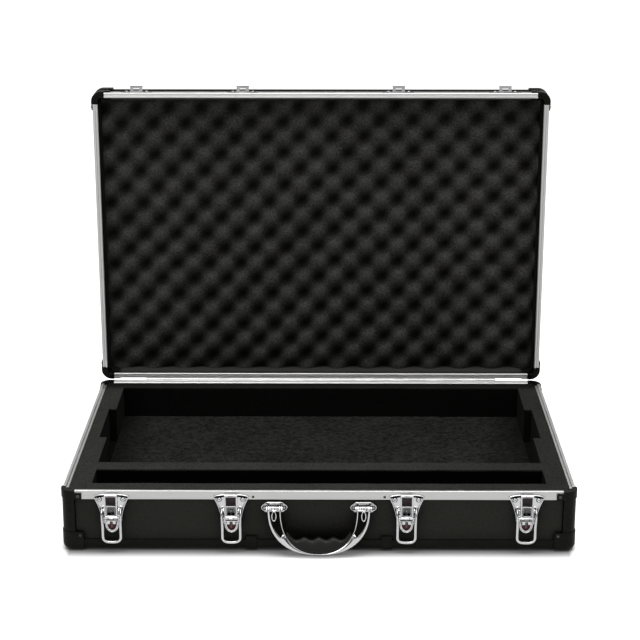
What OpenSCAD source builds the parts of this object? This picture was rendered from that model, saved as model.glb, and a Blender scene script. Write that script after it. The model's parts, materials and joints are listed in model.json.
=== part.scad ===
// Pedalboard flight case: an aluminium-framed hard case whose base holds a
// lift-out pedal board in a foam insert, with a hinged lid, four draw latches
// and a drop handle. Drawn with the lid open at a right angle.
// X runs along the width, -Y is the front, +Z is up, the feet stand on Z = 0.

/* [Case] */
// Width over the corner pieces
case_w = 670; // [560:10:800]
// Depth of the base over the corner pieces
case_d = 442; // [380:2:520]
// Height of the base from its feet to the seam
base_h = 83.5; // [80:0.5:110]
// Height of the lid from the seam to its top
lid_h = 43; // [42:1:80]
// Angle the lid stands open
lid_open = 90; // [0:5:90]

/* [Panels and frames] */
// How far the corner pieces stand proud of the aluminium frames
proud = 2; // [1.6:0.1:3]
// Height of the frame's outer leg
frame_leg = 12; // [11:0.5:14]
// Width of the frame's rim
frame_w = 7.5; // [7.5:0.1:9]
// Thickness of the wall panels
panel_t = 4.35; // [3:0.05:4.4]
// Gap between the two rims when the lid is shut
seam = 0.4; // [0.3:0.1:1]

/* [Corners and edges] */
// Outer radius of the case's vertical corners
corner_r = 15; // [12:1:16]
// Height of the bottom corner caps on the base
cap_h = 25.7; // [22:0.1:30]
// Height of the corner caps on the lid
lid_cap_h = 20; // [16:0.5:24]
// Length of a corner cap's leg
cap_leg = 29; // [24:1:36]
// Length of the corner post's leg
post_leg = 17.5; // [15:0.5:22]
// Height of the lower edge trims
trim_h = 14.8; // [10:0.2:18]

/* [Foam insert] */
// Height of the foam's top face
foam_top = 81; // [74:0.5:81]
// Half width of the board recess
recess_x = 298.5; // [240:0.5:300]
// Front edge of the recess, from the base's centre
recess_y0 = -114; // [-125:0.5:-100]
// Rear edge of the recess, from the base's centre
recess_y1 = 191; // [160:0.5:192]
// Height of the recess floor's finished surface
floor_z = 36; // [32:0.5:50]
// Front edge of the long front slot
slot_y0 = -187.5; // [-189:0.1:-180]
// Rear edge of the long front slot
slot_y1 = -139.3; // [-150:0.1:-135]
// Depth of the finger notches
notch = 10.5; // [6:0.5:16]

/* [Latches] */
// Distance of the outer latches from the centre
latch_outer = 268.5; // [200:0.1:275]
// Distance of the inner latches from the centre
latch_inner = 113.5; // [105:0.1:140]

/* [Handle] */
// Distance between the two handle pivots
handle_pitch = 115.4; // [115:0.1:118]
// Height of the handle's pivot
handle_z = 60.5; // [60.5:0.5:62]
// How far out the handle hangs from vertical
handle_rest = 14; // [12:1:20]

/* [Hidden] */
$fn = 48;

black = [0.08, 0.08, 0.085];
alu = [0.8, 0.8, 0.82];
chrome = [0.88, 0.88, 0.9];
foam = [0.12, 0.12, 0.12];

face_x = case_w/2 - proud;      // frame's outer face, along X
face_y = case_d/2 - proud;      // frame's outer face, along Y
axis_x = case_w/2 - corner_r;   // axis of a rounded vertical corner
axis_y = case_d/2 - corner_r;
lid_rim_z = base_h + seam;      // rim of the shut lid
hinge_off = 2.4;                // hinge axis behind the frame's rear face
hinge_y = face_y + hinge_off;
hinge_z = base_h + seam/2;

// handle sizes that set how far the case reaches forward
handle_out = 6;                 // pivot in front of the frame's face
grip_len = 57.5;                // pivot to the bottom of the grip
grip_half_t = 7.5;

// the origin sits under the middle of the whole case with its lid at a right angle
front_reach = face_y + handle_out + grip_len*sin(handle_rest) + grip_half_t*cos(handle_rest);
rear_reach = hinge_y + lid_h + seam/2;
y_shift = (front_reach - rear_reach)/2;

// ---------------------------------------------------------------- placing
module place() translate([0, y_shift, 0]) children();

// Swings something drawn on the shut lid, in the base's own frame, to the open lid
module shut_to_open()
  place()
  translate([0, hinge_y, hinge_z])
  rotate([-lid_open, 0, 0])
  translate([0, -hinge_y, -hinge_z])
  children();

// Puts something drawn as an upright half case (rim up) into the open lid
module lid_place()
  shut_to_open() translate([0, 0, lid_rim_z + lid_h]) mirror([0, 0, 1]) children();

module to_rear() mirror([0, 1, 0]) children();
module to_right() mirror([1, 0, 0]) children();
module four_corners() {
  children();
  to_right() children();
  to_rear() children();
  to_right() to_rear() children();
}

// ---------------------------------------------------------------- shared shapes
// A flat shape drawn as (y, z), extruded along X
module along_x(length) rotate([90, 0, 90]) linear_extrude(length) children();
// A profile drawn as (inward, up), run along X at the front or along Y at the left
module run_x(length) translate([-length/2, -face_y, 0]) along_x(length) children();
module run_y(length)
  translate([-face_x, length/2, 0]) rotate([90, 0, 0]) linear_extrude(length) children();
// A flat shape drawn as (x, z), from out0 to out1 in front of the frame's face
module front_plate(out0, out1)
  translate([0, -face_y - out0, 0]) out_front() linear_extrude(out1 - out0) children();
// A round bar along X
module bar_x(r, x0, x1) translate([x0, 0, 0]) rotate([0, 90, 0]) cylinder(r = r, h = x1 - x0);
// A screw or rivet head
module dome(r, h) {
  cylinder(r = r, h = h*0.6);
  translate([0, 0, h*0.6]) cylinder(r1 = r, r2 = r*0.6, h = h*0.4);
}
// Turn +Z out of the front or the rear face
module out_front() rotate([90, 0, 0]) children();
module out_rear() rotate([-90, 0, 0]) children();

// ---------------------------------------------------------------- half shells
// The base and the lid are each drawn as an open box with its rim at z = h
corner_rim = 19;                // length of a frame corner at the rim
corner_low = 28;                // length of a frame corner on the outer leg
frame_len_x = case_w - 2*corner_rim - 0.2;
frame_len_y = case_d - 2*corner_rim - 0.2;
wall_len_x = frame_len_x - 0.2;
wall_len_y = frame_len_y - 0.2;
wall_in = 1.65;                 // wall's outer face behind the frame's face
bottom_z = 2.35;                // underside of the bottom panel
bottom_t = 5;
inside_z = bottom_z + bottom_t + 0.25;  // underside of the foam
trim_t = 1.2;
trim_in = 0.4;                  // trim's outer face behind the frame's face
trim_r = 7;
trim_z = 1;                     // underside of the trim
trim_end = 16.8;                // trim's end from the frame's outer face

// Wall: its lower edge follows the rounded trim outside it
module wall2d(h) {
  r = trim_r - trim_t - 0.06;
  centre_x = trim_in + trim_r;
  inner = wall_in + panel_t;
  end_angle = acos((centre_x - inner)/r);
  top = h - 4.1;
  polygon(concat(
    [[inner, top], [wall_in, top]],
    [for (i = [0:4]) let (a = i*end_angle/4) [centre_x - r*cos(a), trim_z + trim_r - r*sin(a)]]));
}
module bottom_panel() {
  half_x = face_x - wall_in - panel_t - 0.1;
  half_y = face_y - wall_in - panel_t - 0.1;
  translate([-half_x, -half_y, bottom_z]) cube([2*half_x, 2*half_y, bottom_t]);
}

// Rim steps from outside to inside: [in from the frame's face, up from the rim].
// The base has a ledge that takes the lid's tongue.
base_rim = [[4.2, 0], [4.2, -2.2], [frame_w, -2.2]];
lid_rim = [[3.5, 0], [3.5, -1.3], [4.7, -1.3], [4.7, 1.8], [7, 1.8], [7, 0], [frame_w, 0]];

module frame2d(h, rim) {
  leg_t = 1.4;
  inner_t = 1.3;
  web_z = -3.8;                 // underside of the web that joins the two legs
  inner_z = -8;                 // bottom of the inner leg
  translate([0, h]) polygon(concat(rim, [
    [frame_w, inner_z], [frame_w - inner_t, inner_z], [frame_w - inner_t, web_z],
    [leg_t, web_z], [leg_t, -frame_leg], [0, -frame_leg], [0, -0.5], [0.5, 0]]));
}

// A rounded corner with two legs: the profile is (radius from the corner's axis, up)
module corner_run(leg) {
  straight = leg - corner_r;
  overlap = 0.01;
  translate([axis_x, axis_y, 0]) {
    rotate_extrude(angle = 90) children();
    translate([-straight, 0, 0]) along_x(straight + overlap) children();
    translate([0, overlap, 0]) rotate([90, 0, 0]) linear_extrude(straight + overlap) children();
  }
}
module frame_corner(h, rim) {
  foot = h - frame_leg;
  bevel = 0.6;
  corner_run(corner_rim) polygon(concat(
    [[corner_r, foot], [corner_r, h - bevel], [corner_r - bevel, h]],
    [for (p = rim) [corner_r - proud - p[0], h + p[1]]],
    [[corner_r - proud - frame_w, foot]]));
  // covers that lap over the ends of the frame's outer leg
  gap = 0.05;
  cover = corner_low - corner_rim + 0.5;
  cover_h = frame_leg - 3.2;
  translate([case_w/2 - corner_low, face_y + gap, foot]) cube([cover, proud - gap, cover_h]);
  translate([face_x + gap, case_d/2 - corner_low, foot]) cube([proud - gap, cover, cover_h]);
}

// A rounded corner about the origin, filled back to -reach
module corner_fill(r, reach) {
  circle(r);
  translate([-reach, -reach]) square([reach + r, reach]);
  translate([-reach, -reach]) square([reach, reach + r]);
}
module post(h, low_cap_h) {
  low = low_cap_h + 0.1;
  outer_r = corner_r - 1;
  post_t = 2;
  translate([axis_x, axis_y, low]) linear_extrude(h - frame_leg - 0.1 - low) intersection() {
    translate([outer_r - post_leg, outer_r - post_leg]) square(post_leg);
    difference() {
      corner_fill(outer_r, 46);
      corner_fill(outer_r - post_t, 47);
    }
  }
}

// Edge trim: an L with a rounded corner
module trim2d() {
  centre_x = trim_in + trim_r;
  centre_z = trim_z + trim_r;
  difference() {
    union() {
      translate([centre_x, centre_z]) circle(trim_r);
      translate([trim_in, centre_z]) square([trim_r, trim_h - centre_z]);
      translate([centre_x, trim_z]) square([9, trim_r]);
    }
    translate([centre_x, centre_z]) circle(trim_r - trim_t);
    translate([trim_in + trim_t, centre_z]) square([20, 20]);
    translate([centre_x, trim_z + trim_t]) square([20, 20]);
  }
}
module trims() {
  length_x = 2*(face_x - trim_end);
  length_y = 2*(face_y - trim_end);
  run_x(length_x) trim2d();
  to_rear() run_x(length_x) trim2d();
  run_y(length_y) trim2d();
  to_right() run_y(length_y) trim2d();
}

// Corner cap's section, hollowed from inside
module cap2d(h) {
  side_t = 2.3;
  floor_t = 0.95;
  hollow_r = 6.5;
  hollow_x = corner_r - side_t - hollow_r;
  difference() {
    union() {
      translate([corner_r - trim_r, trim_r]) circle(trim_r);
      translate([corner_r - trim_r, trim_r]) square([trim_r, h - trim_r]);
      translate([2, 0]) square([corner_r - trim_r - 2, trim_r]);
    }
    translate([hollow_x, floor_t + hollow_r]) circle(hollow_r);
    translate([1, floor_t + hollow_r]) square([corner_r - side_t - 1, h]);
    translate([1, floor_t]) square([hollow_x - 1, h]);
  }
}
module cap(h) corner_run(cap_leg) cap2d(h);

// A head on each leg of every corner, set back from the case's outer edge
module corner_heads(back, z, r, h) four_corners() {
  translate([case_w/2 - back, case_d/2 + 0.02, z]) out_rear() dome(r, h);
  translate([case_w/2 + 0.02, case_d/2 - back, z]) rotate([0, 90, 0]) dome(r, h);
}
module corner_screws(h) corner_heads(back = 23.5, z = h - 7.5, r = 2.3, h = 0.9);
module cap_rivets(h) corner_heads(back = 24.5, z = h - 4.6, r = 1.9, h = 0.8);

// ---------------------------------------------------------------- base
module base_front_panel() color(black) place() run_x(wall_len_x) wall2d(base_h);
module base_rear_panel() color(black) place() to_rear() run_x(wall_len_x) wall2d(base_h);
module base_left_panel() color(black) place() run_y(wall_len_y) wall2d(base_h);
module base_right_panel() color(black) place() to_right() run_y(wall_len_y) wall2d(base_h);
module base_bottom_panel() color(black) place() bottom_panel();

module base_frame_x() run_x(frame_len_x) frame2d(base_h, base_rim);
module base_frame_y() run_y(frame_len_y) frame2d(base_h, base_rim);
module base_front_frame() color(alu) place() base_frame_x();
module base_rear_frame() color(alu) place() to_rear() base_frame_x();
module base_left_frame() color(alu) place() base_frame_y();
module base_right_frame() color(alu) place() to_right() base_frame_y();

module base_frame_corners() color(black) place() four_corners() frame_corner(base_h, base_rim);
module base_corner_posts() color(black) place() four_corners() post(base_h, cap_h);
module base_edge_trims() color(black) place() trims();
module base_corner_caps() color(black) place() four_corners() cap(cap_h);

// Two pads over the front trim; each steps back to the wall above it
module base_edge_pads() {
  pad_x = 88;
  pad_w = 14;
  pad_z = 2.5;
  pad_h = 17.5;
  pad_out = 0.9;
  step_z = trim_h + 0.2;
  color(black) place() for (s = [-1, 1]) translate([s*pad_x - pad_w/2, -face_y - pad_out, 0]) {
    translate([0, 0, pad_z]) cube([pad_w, 1.2, pad_h]);
    translate([0, 0, step_z]) cube([pad_w, pad_out + wall_in - 0.05, pad_z + pad_h - step_z]);
  }
}
module base_frame_screws() color("dimgray") place() {
  corner_screws(base_h);
  for (s = [-1, 1]) translate([s*85, -face_y - 0.02, base_h - 8.4]) out_front() dome(1.7, 0.8);
}
module base_cap_rivets() color("dimgray") place() cap_rivets(cap_h);

// ---------------------------------------------------------------- foam and board
board_gap = 0.8;                // board's edge to the recess wall
carpet_t = 2.25;
board_t = 3.6;
recess_z = floor_z - 6;         // foam under the board
recess_d = recess_y1 - recess_y0;

module base_foam_insert() {
  gap = 0.3;
  half_x = face_x - frame_w - gap;
  half_y = face_y - frame_w - gap;
  notch_y0 = -20;
  notch_y1 = 96;
  slot_x = recess_x - 1;
  slot_z = 14;
  cut = 80;                     // taller than the foam
  color(foam) place() difference() {
    translate([-half_x, -half_y, inside_z]) cube([2*half_x, 2*half_y, foam_top - inside_z]);
    translate([-recess_x, recess_y0, recess_z]) cube([2*recess_x, recess_d, cut]);
    translate([-recess_x - notch, notch_y0, recess_z])
      cube([2*(recess_x + notch), notch_y1 - notch_y0, cut]);
    translate([-slot_x, slot_y0, slot_z]) cube([2*slot_x, slot_y1 - slot_y0, cut]);
    // rounded beside the frame's corner pieces
    four_corners() translate([axis_x, axis_y, base_h - frame_leg - gap]) difference() {
      cube([20, 20, 30]);
      translate([0, 0, -1]) cylinder(r = corner_r - proud - frame_w - gap, h = 40);
    }
  }
}
// A slab that fills the recess
module board_slab(z, t)
  translate([-recess_x + board_gap, recess_y0 + board_gap, z])
  cube([2*(recess_x - board_gap), recess_d - 2*board_gap, t]);
module pedal_board_panel() color("saddlebrown") place() board_slab(recess_z + 0.1, board_t);
module pedal_board_carpet() color(foam) place() board_slab(floor_z - carpet_t, carpet_t);

// ---------------------------------------------------------------- latches
// Pivots: distance out from the frame's face, and height
lever_out = 4.5;
lever_z = 57.5;
link_out = 8;
link_z = 48.5;
plate_rivet_x = 15.2;
plate_rivet_z = 71.9;
lever_half = 12.9;              // half width over the lever's sides
link_half = 8.4;
link_top = 80.9;
link_half_t = 0.6;

latch_x = [-latch_outer, -latch_inner, latch_inner, latch_outer];
module at_latches() for (x = latch_x) translate([x, 0, 0]) children();
module at_latch(number) place() translate([latch_x[number - 1], 0, 0]) children();
module at_lever_pivot() translate([0, -face_y - lever_out, lever_z]) children();
module at_link_pivot() translate([0, -face_y - link_out, link_z]) children();

// Half width of the plate's flared sides at height z
function plate_half(z) = 13.2 + 10.7*pow(max(0, (z - 42)/34.3), 1.8);
// Backing plate: flared sides, arched top, round bottom with a window above it
module plate2d() difference() {
  polygon(concat(
    [for (i = [0:12]) let (z = 42 + 33.2*i/12) [plate_half(z), z]],
    [for (i = [-9:9]) let (x = -23*i/9) [x, 75.4 + 4.1*pow(1 - pow(abs(x)/23.2, 2.7), 0.55)]],
    [for (i = [0:12]) let (z = 75.2 - 33.2*i/12) [-plate_half(z), z]],
    [for (i = [0:18]) [-9.1*cos(10*i), 37.4 - 11.6*sin(10*i)]]));
  polygon(concat(
    [for (i = [0:16]) [-7.9*cos(11.25*i), 37.2 - 10.2*sin(11.25*i)]],
    [[7.9, 46.2], [-7.9, 46.2]]));
  for (s = [-1, 1]) translate([s*plate_rivet_x, plate_rivet_z]) circle(1.5);
}
// The part of the plate below the frame's outer leg
module plate_low2d() intersection() {
  plate2d();
  translate([-40, 0]) square([80, base_h - frame_leg - 0.2]);
}
module latch_ear() along_x(1.2) difference() {
  r = 2.6;
  union() {
    translate([-lever_out, lever_z]) circle(r);
    translate([-lever_out, lever_z - r]) square([lever_out - 1.4, 2*r]);
  }
  translate([-lever_out, lever_z]) circle(1.5);
}
module latch_plate() {
  front_plate(0.1, 1.5) plate2d();
  front_plate(-1.6, 0.2) plate_low2d();  // backs the plate against the wall
  for (x = [-10.6, 9.4]) translate([x, -face_y, 0]) latch_ear();
}
module latch_plates() color(chrome) place() at_latches() latch_plate();
module latch_plate_rivets() color(chrome) place() at_latches() for (s = [-1, 1])
  translate([s*plate_rivet_x, -face_y - 1.55, plate_rivet_z]) out_front() dome(2.6, 1.1);
module latch_pivot_pins() color(chrome) place() at_latches()
  at_lever_pivot() bar_x(1.48, -13.4, 13.4);
// Each spring is drawn as a sleeve on the pivot pin
module latch_springs() color("silver") place() at_latches() at_lever_pivot() difference() {
  bar_x(2.5, -5, 5);
  bar_x(1.6, -6, 6);
}

module lever_side() along_x(1.3) difference() {
  union() {
    translate([-lever_out, lever_z]) circle(2.8);
    translate([-link_out, link_z]) circle(2.6);
    polygon([
      [-lever_out - 2.7, lever_z + 0.6], [-lever_out + 2.6, lever_z - 1],
      [-5.3, link_z - 1], [-6, 30], [-8.2, 30], [-10.5, link_z + 0.5]]);
  }
  translate([-lever_out, lever_z]) circle(1.55);
  translate([-link_out, link_z]) circle(1.2);
}
// Lever's face: an open frame with a rounded lower end
module lever2d() difference() {
  union() {
    translate([-13.2, 20.8]) square([26.4, 22.2]);
    translate([-5.2, 12.8]) square([10.4, 9]);
    for (s = [-1, 1]) translate([s*5.2, 20.8]) circle(8);
  }
  translate([-9.9, 20.9]) square([19.8, 18.9]);
  translate([-5.2, 16]) square([10.4, 6]);
  for (s = [-1, 1]) translate([s*5.1, 20.9]) circle(4.8);
}
module latch_lever() {
  front_plate(7, 8.2) lever2d();
  for (x = [-lever_half, lever_half - 1.3]) translate([x, -face_y, 0]) lever_side();
  // pin that carries the link, held in both sides
  at_link_pivot() bar_x(1.2, -lever_half, lever_half);
}

module link2d() difference() {
  translate([-link_half, link_z]) square([2*link_half, link_top - link_z]);
  translate([-6.5, 65.4]) square([13, 13]);
  translate([-5, 52.4]) square([10, 10]);
}
module latch_link() difference() {
  lip_h = 1.3;
  union() {
    front_plate(link_out - link_half_t, link_out + link_half_t) link2d();
    // lip at the top, turned in toward the case
    front_plate(4.6, link_out + link_half_t)
      translate([-link_half, link_top - lip_h]) square([2*link_half, lip_h]);
    at_link_pivot() bar_x(2.3, -link_half, link_half);
  }
  at_link_pivot() bar_x(1.25, -10, 10);
}
module latch_lever_1() color(chrome) at_latch(1) latch_lever();
module latch_lever_2() color(chrome) at_latch(2) latch_lever();
module latch_lever_3() color(chrome) at_latch(3) latch_lever();
module latch_lever_4() color(chrome) at_latch(4) latch_lever();
module latch_link_1() color(chrome) at_latch(1) latch_link();
module latch_link_2() color(chrome) at_latch(2) latch_link();
module latch_link_3() color(chrome) at_latch(3) latch_link();
module latch_link_4() color(chrome) at_latch(4) latch_link();

// ---------------------------------------------------------------- handle
boss_half = 8.3;                // half length of the frame's boss round each pivot
handle_half = handle_pitch/2 + boss_half;
handle_len = 59;                // pivot to the outer bottom edge
inner_half = handle_pitch/2 - boss_half;
inner_len = grip_len + 0.1;
handle_half_t = 4.5;

module at_handle_pivots() for (s = [-1, 1]) translate([s*handle_pitch/2, 0, 0]) children();

module bracket_plate() {
  hole_x = 12.6;
  difference() {
    front_plate(-1.6, 0.9) union() {
      for (s = [-1, 1]) translate([s*hole_x, handle_z]) circle(4.5);
      for (s = [-1, 1]) translate([s*7.5, handle_z]) circle(7.6);
      translate([-7.5, handle_z - 7.6]) square([15, 15.2]);
      translate([-hole_x, handle_z - 4.5]) square([2*hole_x, 9]);
    }
    for (s = [-1, 1])
      translate([s*hole_x, -face_y + 3, handle_z]) out_front() cylinder(r = 1.6, h = 8);
  }
}
module bracket_ear(t) along_x(t) difference() {
  r = 4.3;
  union() {
    translate([-handle_out, handle_z]) circle(r);
    translate([-handle_out, handle_z - r]) square([handle_out - 0.8, 2*r]);
  }
  translate([-handle_out, handle_z]) circle(2);
}
module handle_brackets() {
  ear_t = 1.7;
  color(chrome) place() at_handle_pivots() {
    bracket_plate();
    for (s = [-1, 1]) translate([s*9.75 - ear_t/2, -face_y, 0]) bracket_ear(ear_t);
  }
}
module handle_screws() color("silver") place() at_handle_pivots() for (s = [-1, 1])
  translate([s*12.9, -face_y - 0.95, handle_z]) out_front() dome(1.9, 1.1);
module handle_pins() color("silver") place() at_handle_pivots()
  translate([0, -face_y - handle_out, handle_z]) bar_x(1.98, -10.9, 10.9);

// Superellipse below the pivots: half width a, drop b, at angle t
function handle_point(a, b, t, power = 2/2.3) =
  [a*sign(cos(t))*pow(abs(cos(t)), power), -b*pow(abs(sin(t)), power)];
function handle_outline(a, b) = [for (i = [0:64]) handle_point(a, b, 180*i/64)];
// Wavy upper edge of the grip, rising toward its ends
function grip_edge(x) = -(37.7 - 1.6*cos(360*x/19) - 0.09*pow(max(0, abs(x) - 32), 2));

// The handle is drawn in (x, z) about its pivot line, then swung out to rest
module handle_pose()
  place() translate([0, -face_y - handle_out, handle_z]) rotate([-handle_rest, 0, 0]) children();
module handle_slab(half_t)
  translate([0, half_t, 0]) rotate([90, 0, 0]) linear_extrude(2*half_t) children();
module handle_frame() color(chrome) handle_pose() difference() {
  union() {
    handle_slab(handle_half_t) difference() {
      polygon(handle_outline(handle_half, handle_len));
      polygon(concat(
        [[inner_half, 1]], handle_outline(inner_half, inner_len), [[-inner_half, 1]]));
    }
    at_handle_pivots() bar_x(handle_half_t, -boss_half, boss_half);
  }
  bar_x(2.04, -handle_half - 1, handle_half + 1);
}
module handle_grip() color(black) handle_pose() handle_slab(grip_half_t)
  polygon(concat(
    [for (i = [0:48]) handle_point(inner_half - 0.1, grip_len, 34 + 112*i/48)],
    [for (i = [0:56]) let (x = -41 + 82*i/56) [x, grip_edge(x)]]));

// ---------------------------------------------------------------- hinge
hinge_half = 267;
knuckles = 20;
knuckle_pitch = 2*hinge_half/knuckles;
knuckle_gap = 0.15;             // at each end of a knuckle
leaf_gap = 0.05;
leaf_t = 1;
leaf_y = face_y + leaf_gap;

function knuckle_x(i) = -hinge_half + i*knuckle_pitch;
module at_hinge() translate([0, hinge_y, hinge_z]) children();

// A leaf with every other knuckle, counted from first, on webs from web_z0 to web_z1
module hinge_leaf(first, leaf_z, web_z0, web_z1) difference() {
  union() {
    translate([-hinge_half, leaf_y, leaf_z]) cube([2*hinge_half, leaf_t, frame_leg - 3]);
    for (i = [first:2:knuckles - 1]) {
      x0 = knuckle_x(i) + knuckle_gap;
      x1 = knuckle_x(i + 1) - knuckle_gap;
      translate([x0, leaf_y, web_z0]) cube([x1 - x0, leaf_t, web_z1 - web_z0]);
      at_hinge() bar_x(2, x0, x1);
    }
  }
  at_hinge() bar_x(1.05, -hinge_half - 1, hinge_half + 1);
}
module hinge_base_leaf() color(alu) place()
  hinge_leaf(0, base_h - frame_leg + 0.5, base_h - 3, hinge_z);
module hinge_lid_leaf() color(alu) shut_to_open()
  hinge_leaf(1, lid_rim_z + 2.5, hinge_z, lid_rim_z + 3);
module hinge_pin() color("silver") place()
  at_hinge() bar_x(1, -hinge_half - 0.5, hinge_half + 0.5);
module hinge_base_rivets() color(alu) place() for (i = [0:9])
  translate([-240 + 480*i/9, face_y + 1.08, base_h - 7]) out_rear() dome(2.1, 0.9);

// Two brackets behind the hinge that the open lid's leaf comes down on
module hinge_stop_brackets() {
  width = 14;
  foot_z = base_h - 22;
  shelf_z = base_h - 12;
  stop_z = hinge_z + hinge_off - leaf_gap - leaf_t - 0.15;
  color("dimgray") place() for (i = [4, 14]) translate([knuckle_x(i) + 6, face_y + 1.1, 0]) {
    translate([0, 0, foot_z]) cube([width, 1.4, 12]);
    translate([0, 0, shelf_z]) cube([width, 9, 1.6]);
    translate([0, 7.4, shelf_z]) cube([width, 1.6, stop_z - shelf_z]);
    translate([0, -1.05, foot_z]) cube([width, 1.2, 9.9]);
  }
}

// ---------------------------------------------------------------- lid
module lid_top_panel() color(black) lid_place() bottom_panel();
module lid_front_panel() color(black) lid_place() run_x(wall_len_x) wall2d(lid_h);
module lid_rear_panel() color(black) lid_place() to_rear() run_x(wall_len_x) wall2d(lid_h);
module lid_left_panel() color(black) lid_place() run_y(wall_len_y) wall2d(lid_h);
module lid_right_panel() color(black) lid_place() to_right() run_y(wall_len_y) wall2d(lid_h);

module lid_frame_x() run_x(frame_len_x) frame2d(lid_h, lid_rim);
module lid_frame_y() run_y(frame_len_y) frame2d(lid_h, lid_rim);
module lid_front_frame() color(alu) lid_place() lid_frame_x();
module lid_rear_frame() color(alu) lid_place() to_rear() lid_frame_x();
module lid_left_frame() color(alu) lid_place() lid_frame_y();
module lid_right_frame() color(alu) lid_place() to_right() lid_frame_y();

module lid_frame_corners() color(black) lid_place() four_corners() frame_corner(lid_h, lid_rim);
module lid_corner_posts() color(black) lid_place() four_corners() post(lid_h, lid_cap_h);
module lid_edge_trims() color(black) lid_place() trims();
module lid_corner_caps() color(black) lid_place() four_corners() cap(lid_cap_h);
module lid_frame_screws() color("dimgray") lid_place() corner_screws(lid_h);
module lid_cap_rivets() color("dimgray") lid_place() cap_rivets(lid_cap_h);

module lid_side_lining() {
  gap = 0.2;
  half_x = face_x - frame_w - gap;
  half_y = face_y - frame_w - gap;
  lining_t = 2.8;
  lining_h = lid_h - 3 - inside_z;
  side_in = 3;                  // side strips stop short of the front and rear ones
  color(foam) lid_place() difference() {
    for (m = [0, 1]) {
      mirror([0, m, 0]) translate([-half_x, -half_y, inside_z])
        cube([2*half_x, lining_t, lining_h]);
      mirror([m, 0, 0]) translate([-half_x, -half_y + side_in, inside_z])
        cube([lining_t, 2*(half_y - side_in), lining_h]);
    }
    // notched beside the frame's corner pieces
    four_corners() translate([axis_x - 0.2, axis_y - 0.2, lid_h - frame_leg - 0.3])
      cube([20.4, 20.4, 30]);
  }
}
// Drawn as a plain slab
module lid_egg_crate_foam() {
  half_x = face_x - frame_w - 3.4;
  half_y = face_y - frame_w - 3.4;
  color(foam) lid_place() translate([-half_x, -half_y, inside_z])
    cube([2*half_x, 2*half_y, lid_h - 14.5 - inside_z]);
}

strike_z = lid_rim_z + 6;       // middle of a strike on the shut lid
strike_rivet_x = 14.5;

// Pointed oval; side is 1 for its upper edge and -1 for its lower
function strike_edge(side) = [for (i = [-10:10])
  [side*23.5*i/10, strike_z + side*5.2*pow(1 - abs(i)/10.001, 0.6)]];
module lid_strike() {
  hook_z = lid_rim_z + 2.4;
  difference() {
    union() {
      front_plate(0.1, 1.2) intersection() {
        polygon(concat(strike_edge(1), strike_edge(-1)));
        translate([-40, lid_rim_z + 0.6]) square([80, frame_leg - 1]);
      }
      // hook: a shelf with an upturned front
      front_plate(0.4, 9) translate([-9, hook_z]) square([18, 1.4]);
      front_plate(7.6, 9) translate([-9, hook_z]) square([18, 6.4]);
    }
    translate([-4.5, -face_y - 6.2, hook_z - 1]) cube([9, 3.2, 4]);
    for (s = [-1, 1]) translate([s*strike_rivet_x, -face_y + 1, strike_z])
      out_front() cylinder(r = 1.4, h = 5);
  }
}
module lid_strikes() color(chrome) shut_to_open() at_latches() lid_strike();
module lid_strike_rivets() color(chrome) shut_to_open() at_latches() for (s = [-1, 1])
  translate([s*strike_rivet_x, -face_y - 1.25, strike_z]) out_front() dome(2.2, 0.9);

base_front_panel();
base_rear_panel();
base_left_panel();
base_right_panel();
base_bottom_panel();
base_front_frame();
base_rear_frame();
base_left_frame();
base_right_frame();
base_frame_corners();
base_corner_posts();
base_edge_trims();
base_corner_caps();
base_edge_pads();
base_frame_screws();
base_cap_rivets();
base_foam_insert();
latch_plates();
latch_plate_rivets();
latch_pivot_pins();
latch_springs();
handle_brackets();
handle_screws();
handle_pins();
hinge_base_leaf();
hinge_pin();
hinge_base_rivets();
hinge_stop_brackets();
lid_top_panel();
lid_front_panel();
lid_rear_panel();
lid_left_panel();
lid_right_panel();
lid_front_frame();
lid_rear_frame();
lid_left_frame();
lid_right_frame();
lid_frame_corners();
lid_corner_posts();
lid_edge_trims();
lid_corner_caps();
lid_side_lining();
lid_egg_crate_foam();
lid_strikes();
lid_strike_rivets();
lid_frame_screws();
lid_cap_rivets();
hinge_lid_leaf();
handle_frame();
handle_grip();
pedal_board_panel();
pedal_board_carpet();
latch_lever_1();
latch_lever_2();
latch_lever_3();
latch_lever_4();
latch_link_1();
latch_link_2();
latch_link_3();
latch_link_4();
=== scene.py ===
"""A black flight case on a white floor, its lid standing open behind the base.

The front, with four draw latches and a drop handle, faces -Y; X runs left to right and Z up.
The base holds a cut foam tray and a carpeted lift-out board, the lid an egg-crate foam pad.
Lengths are in millimetres unless a comment says otherwise; MM turns them into metres.
"""
import json
import math
from contextlib import contextmanager

import bmesh
import bpy
import numpy as np
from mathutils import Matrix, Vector
from mathutils.geometry import tessellate_polygon


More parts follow.
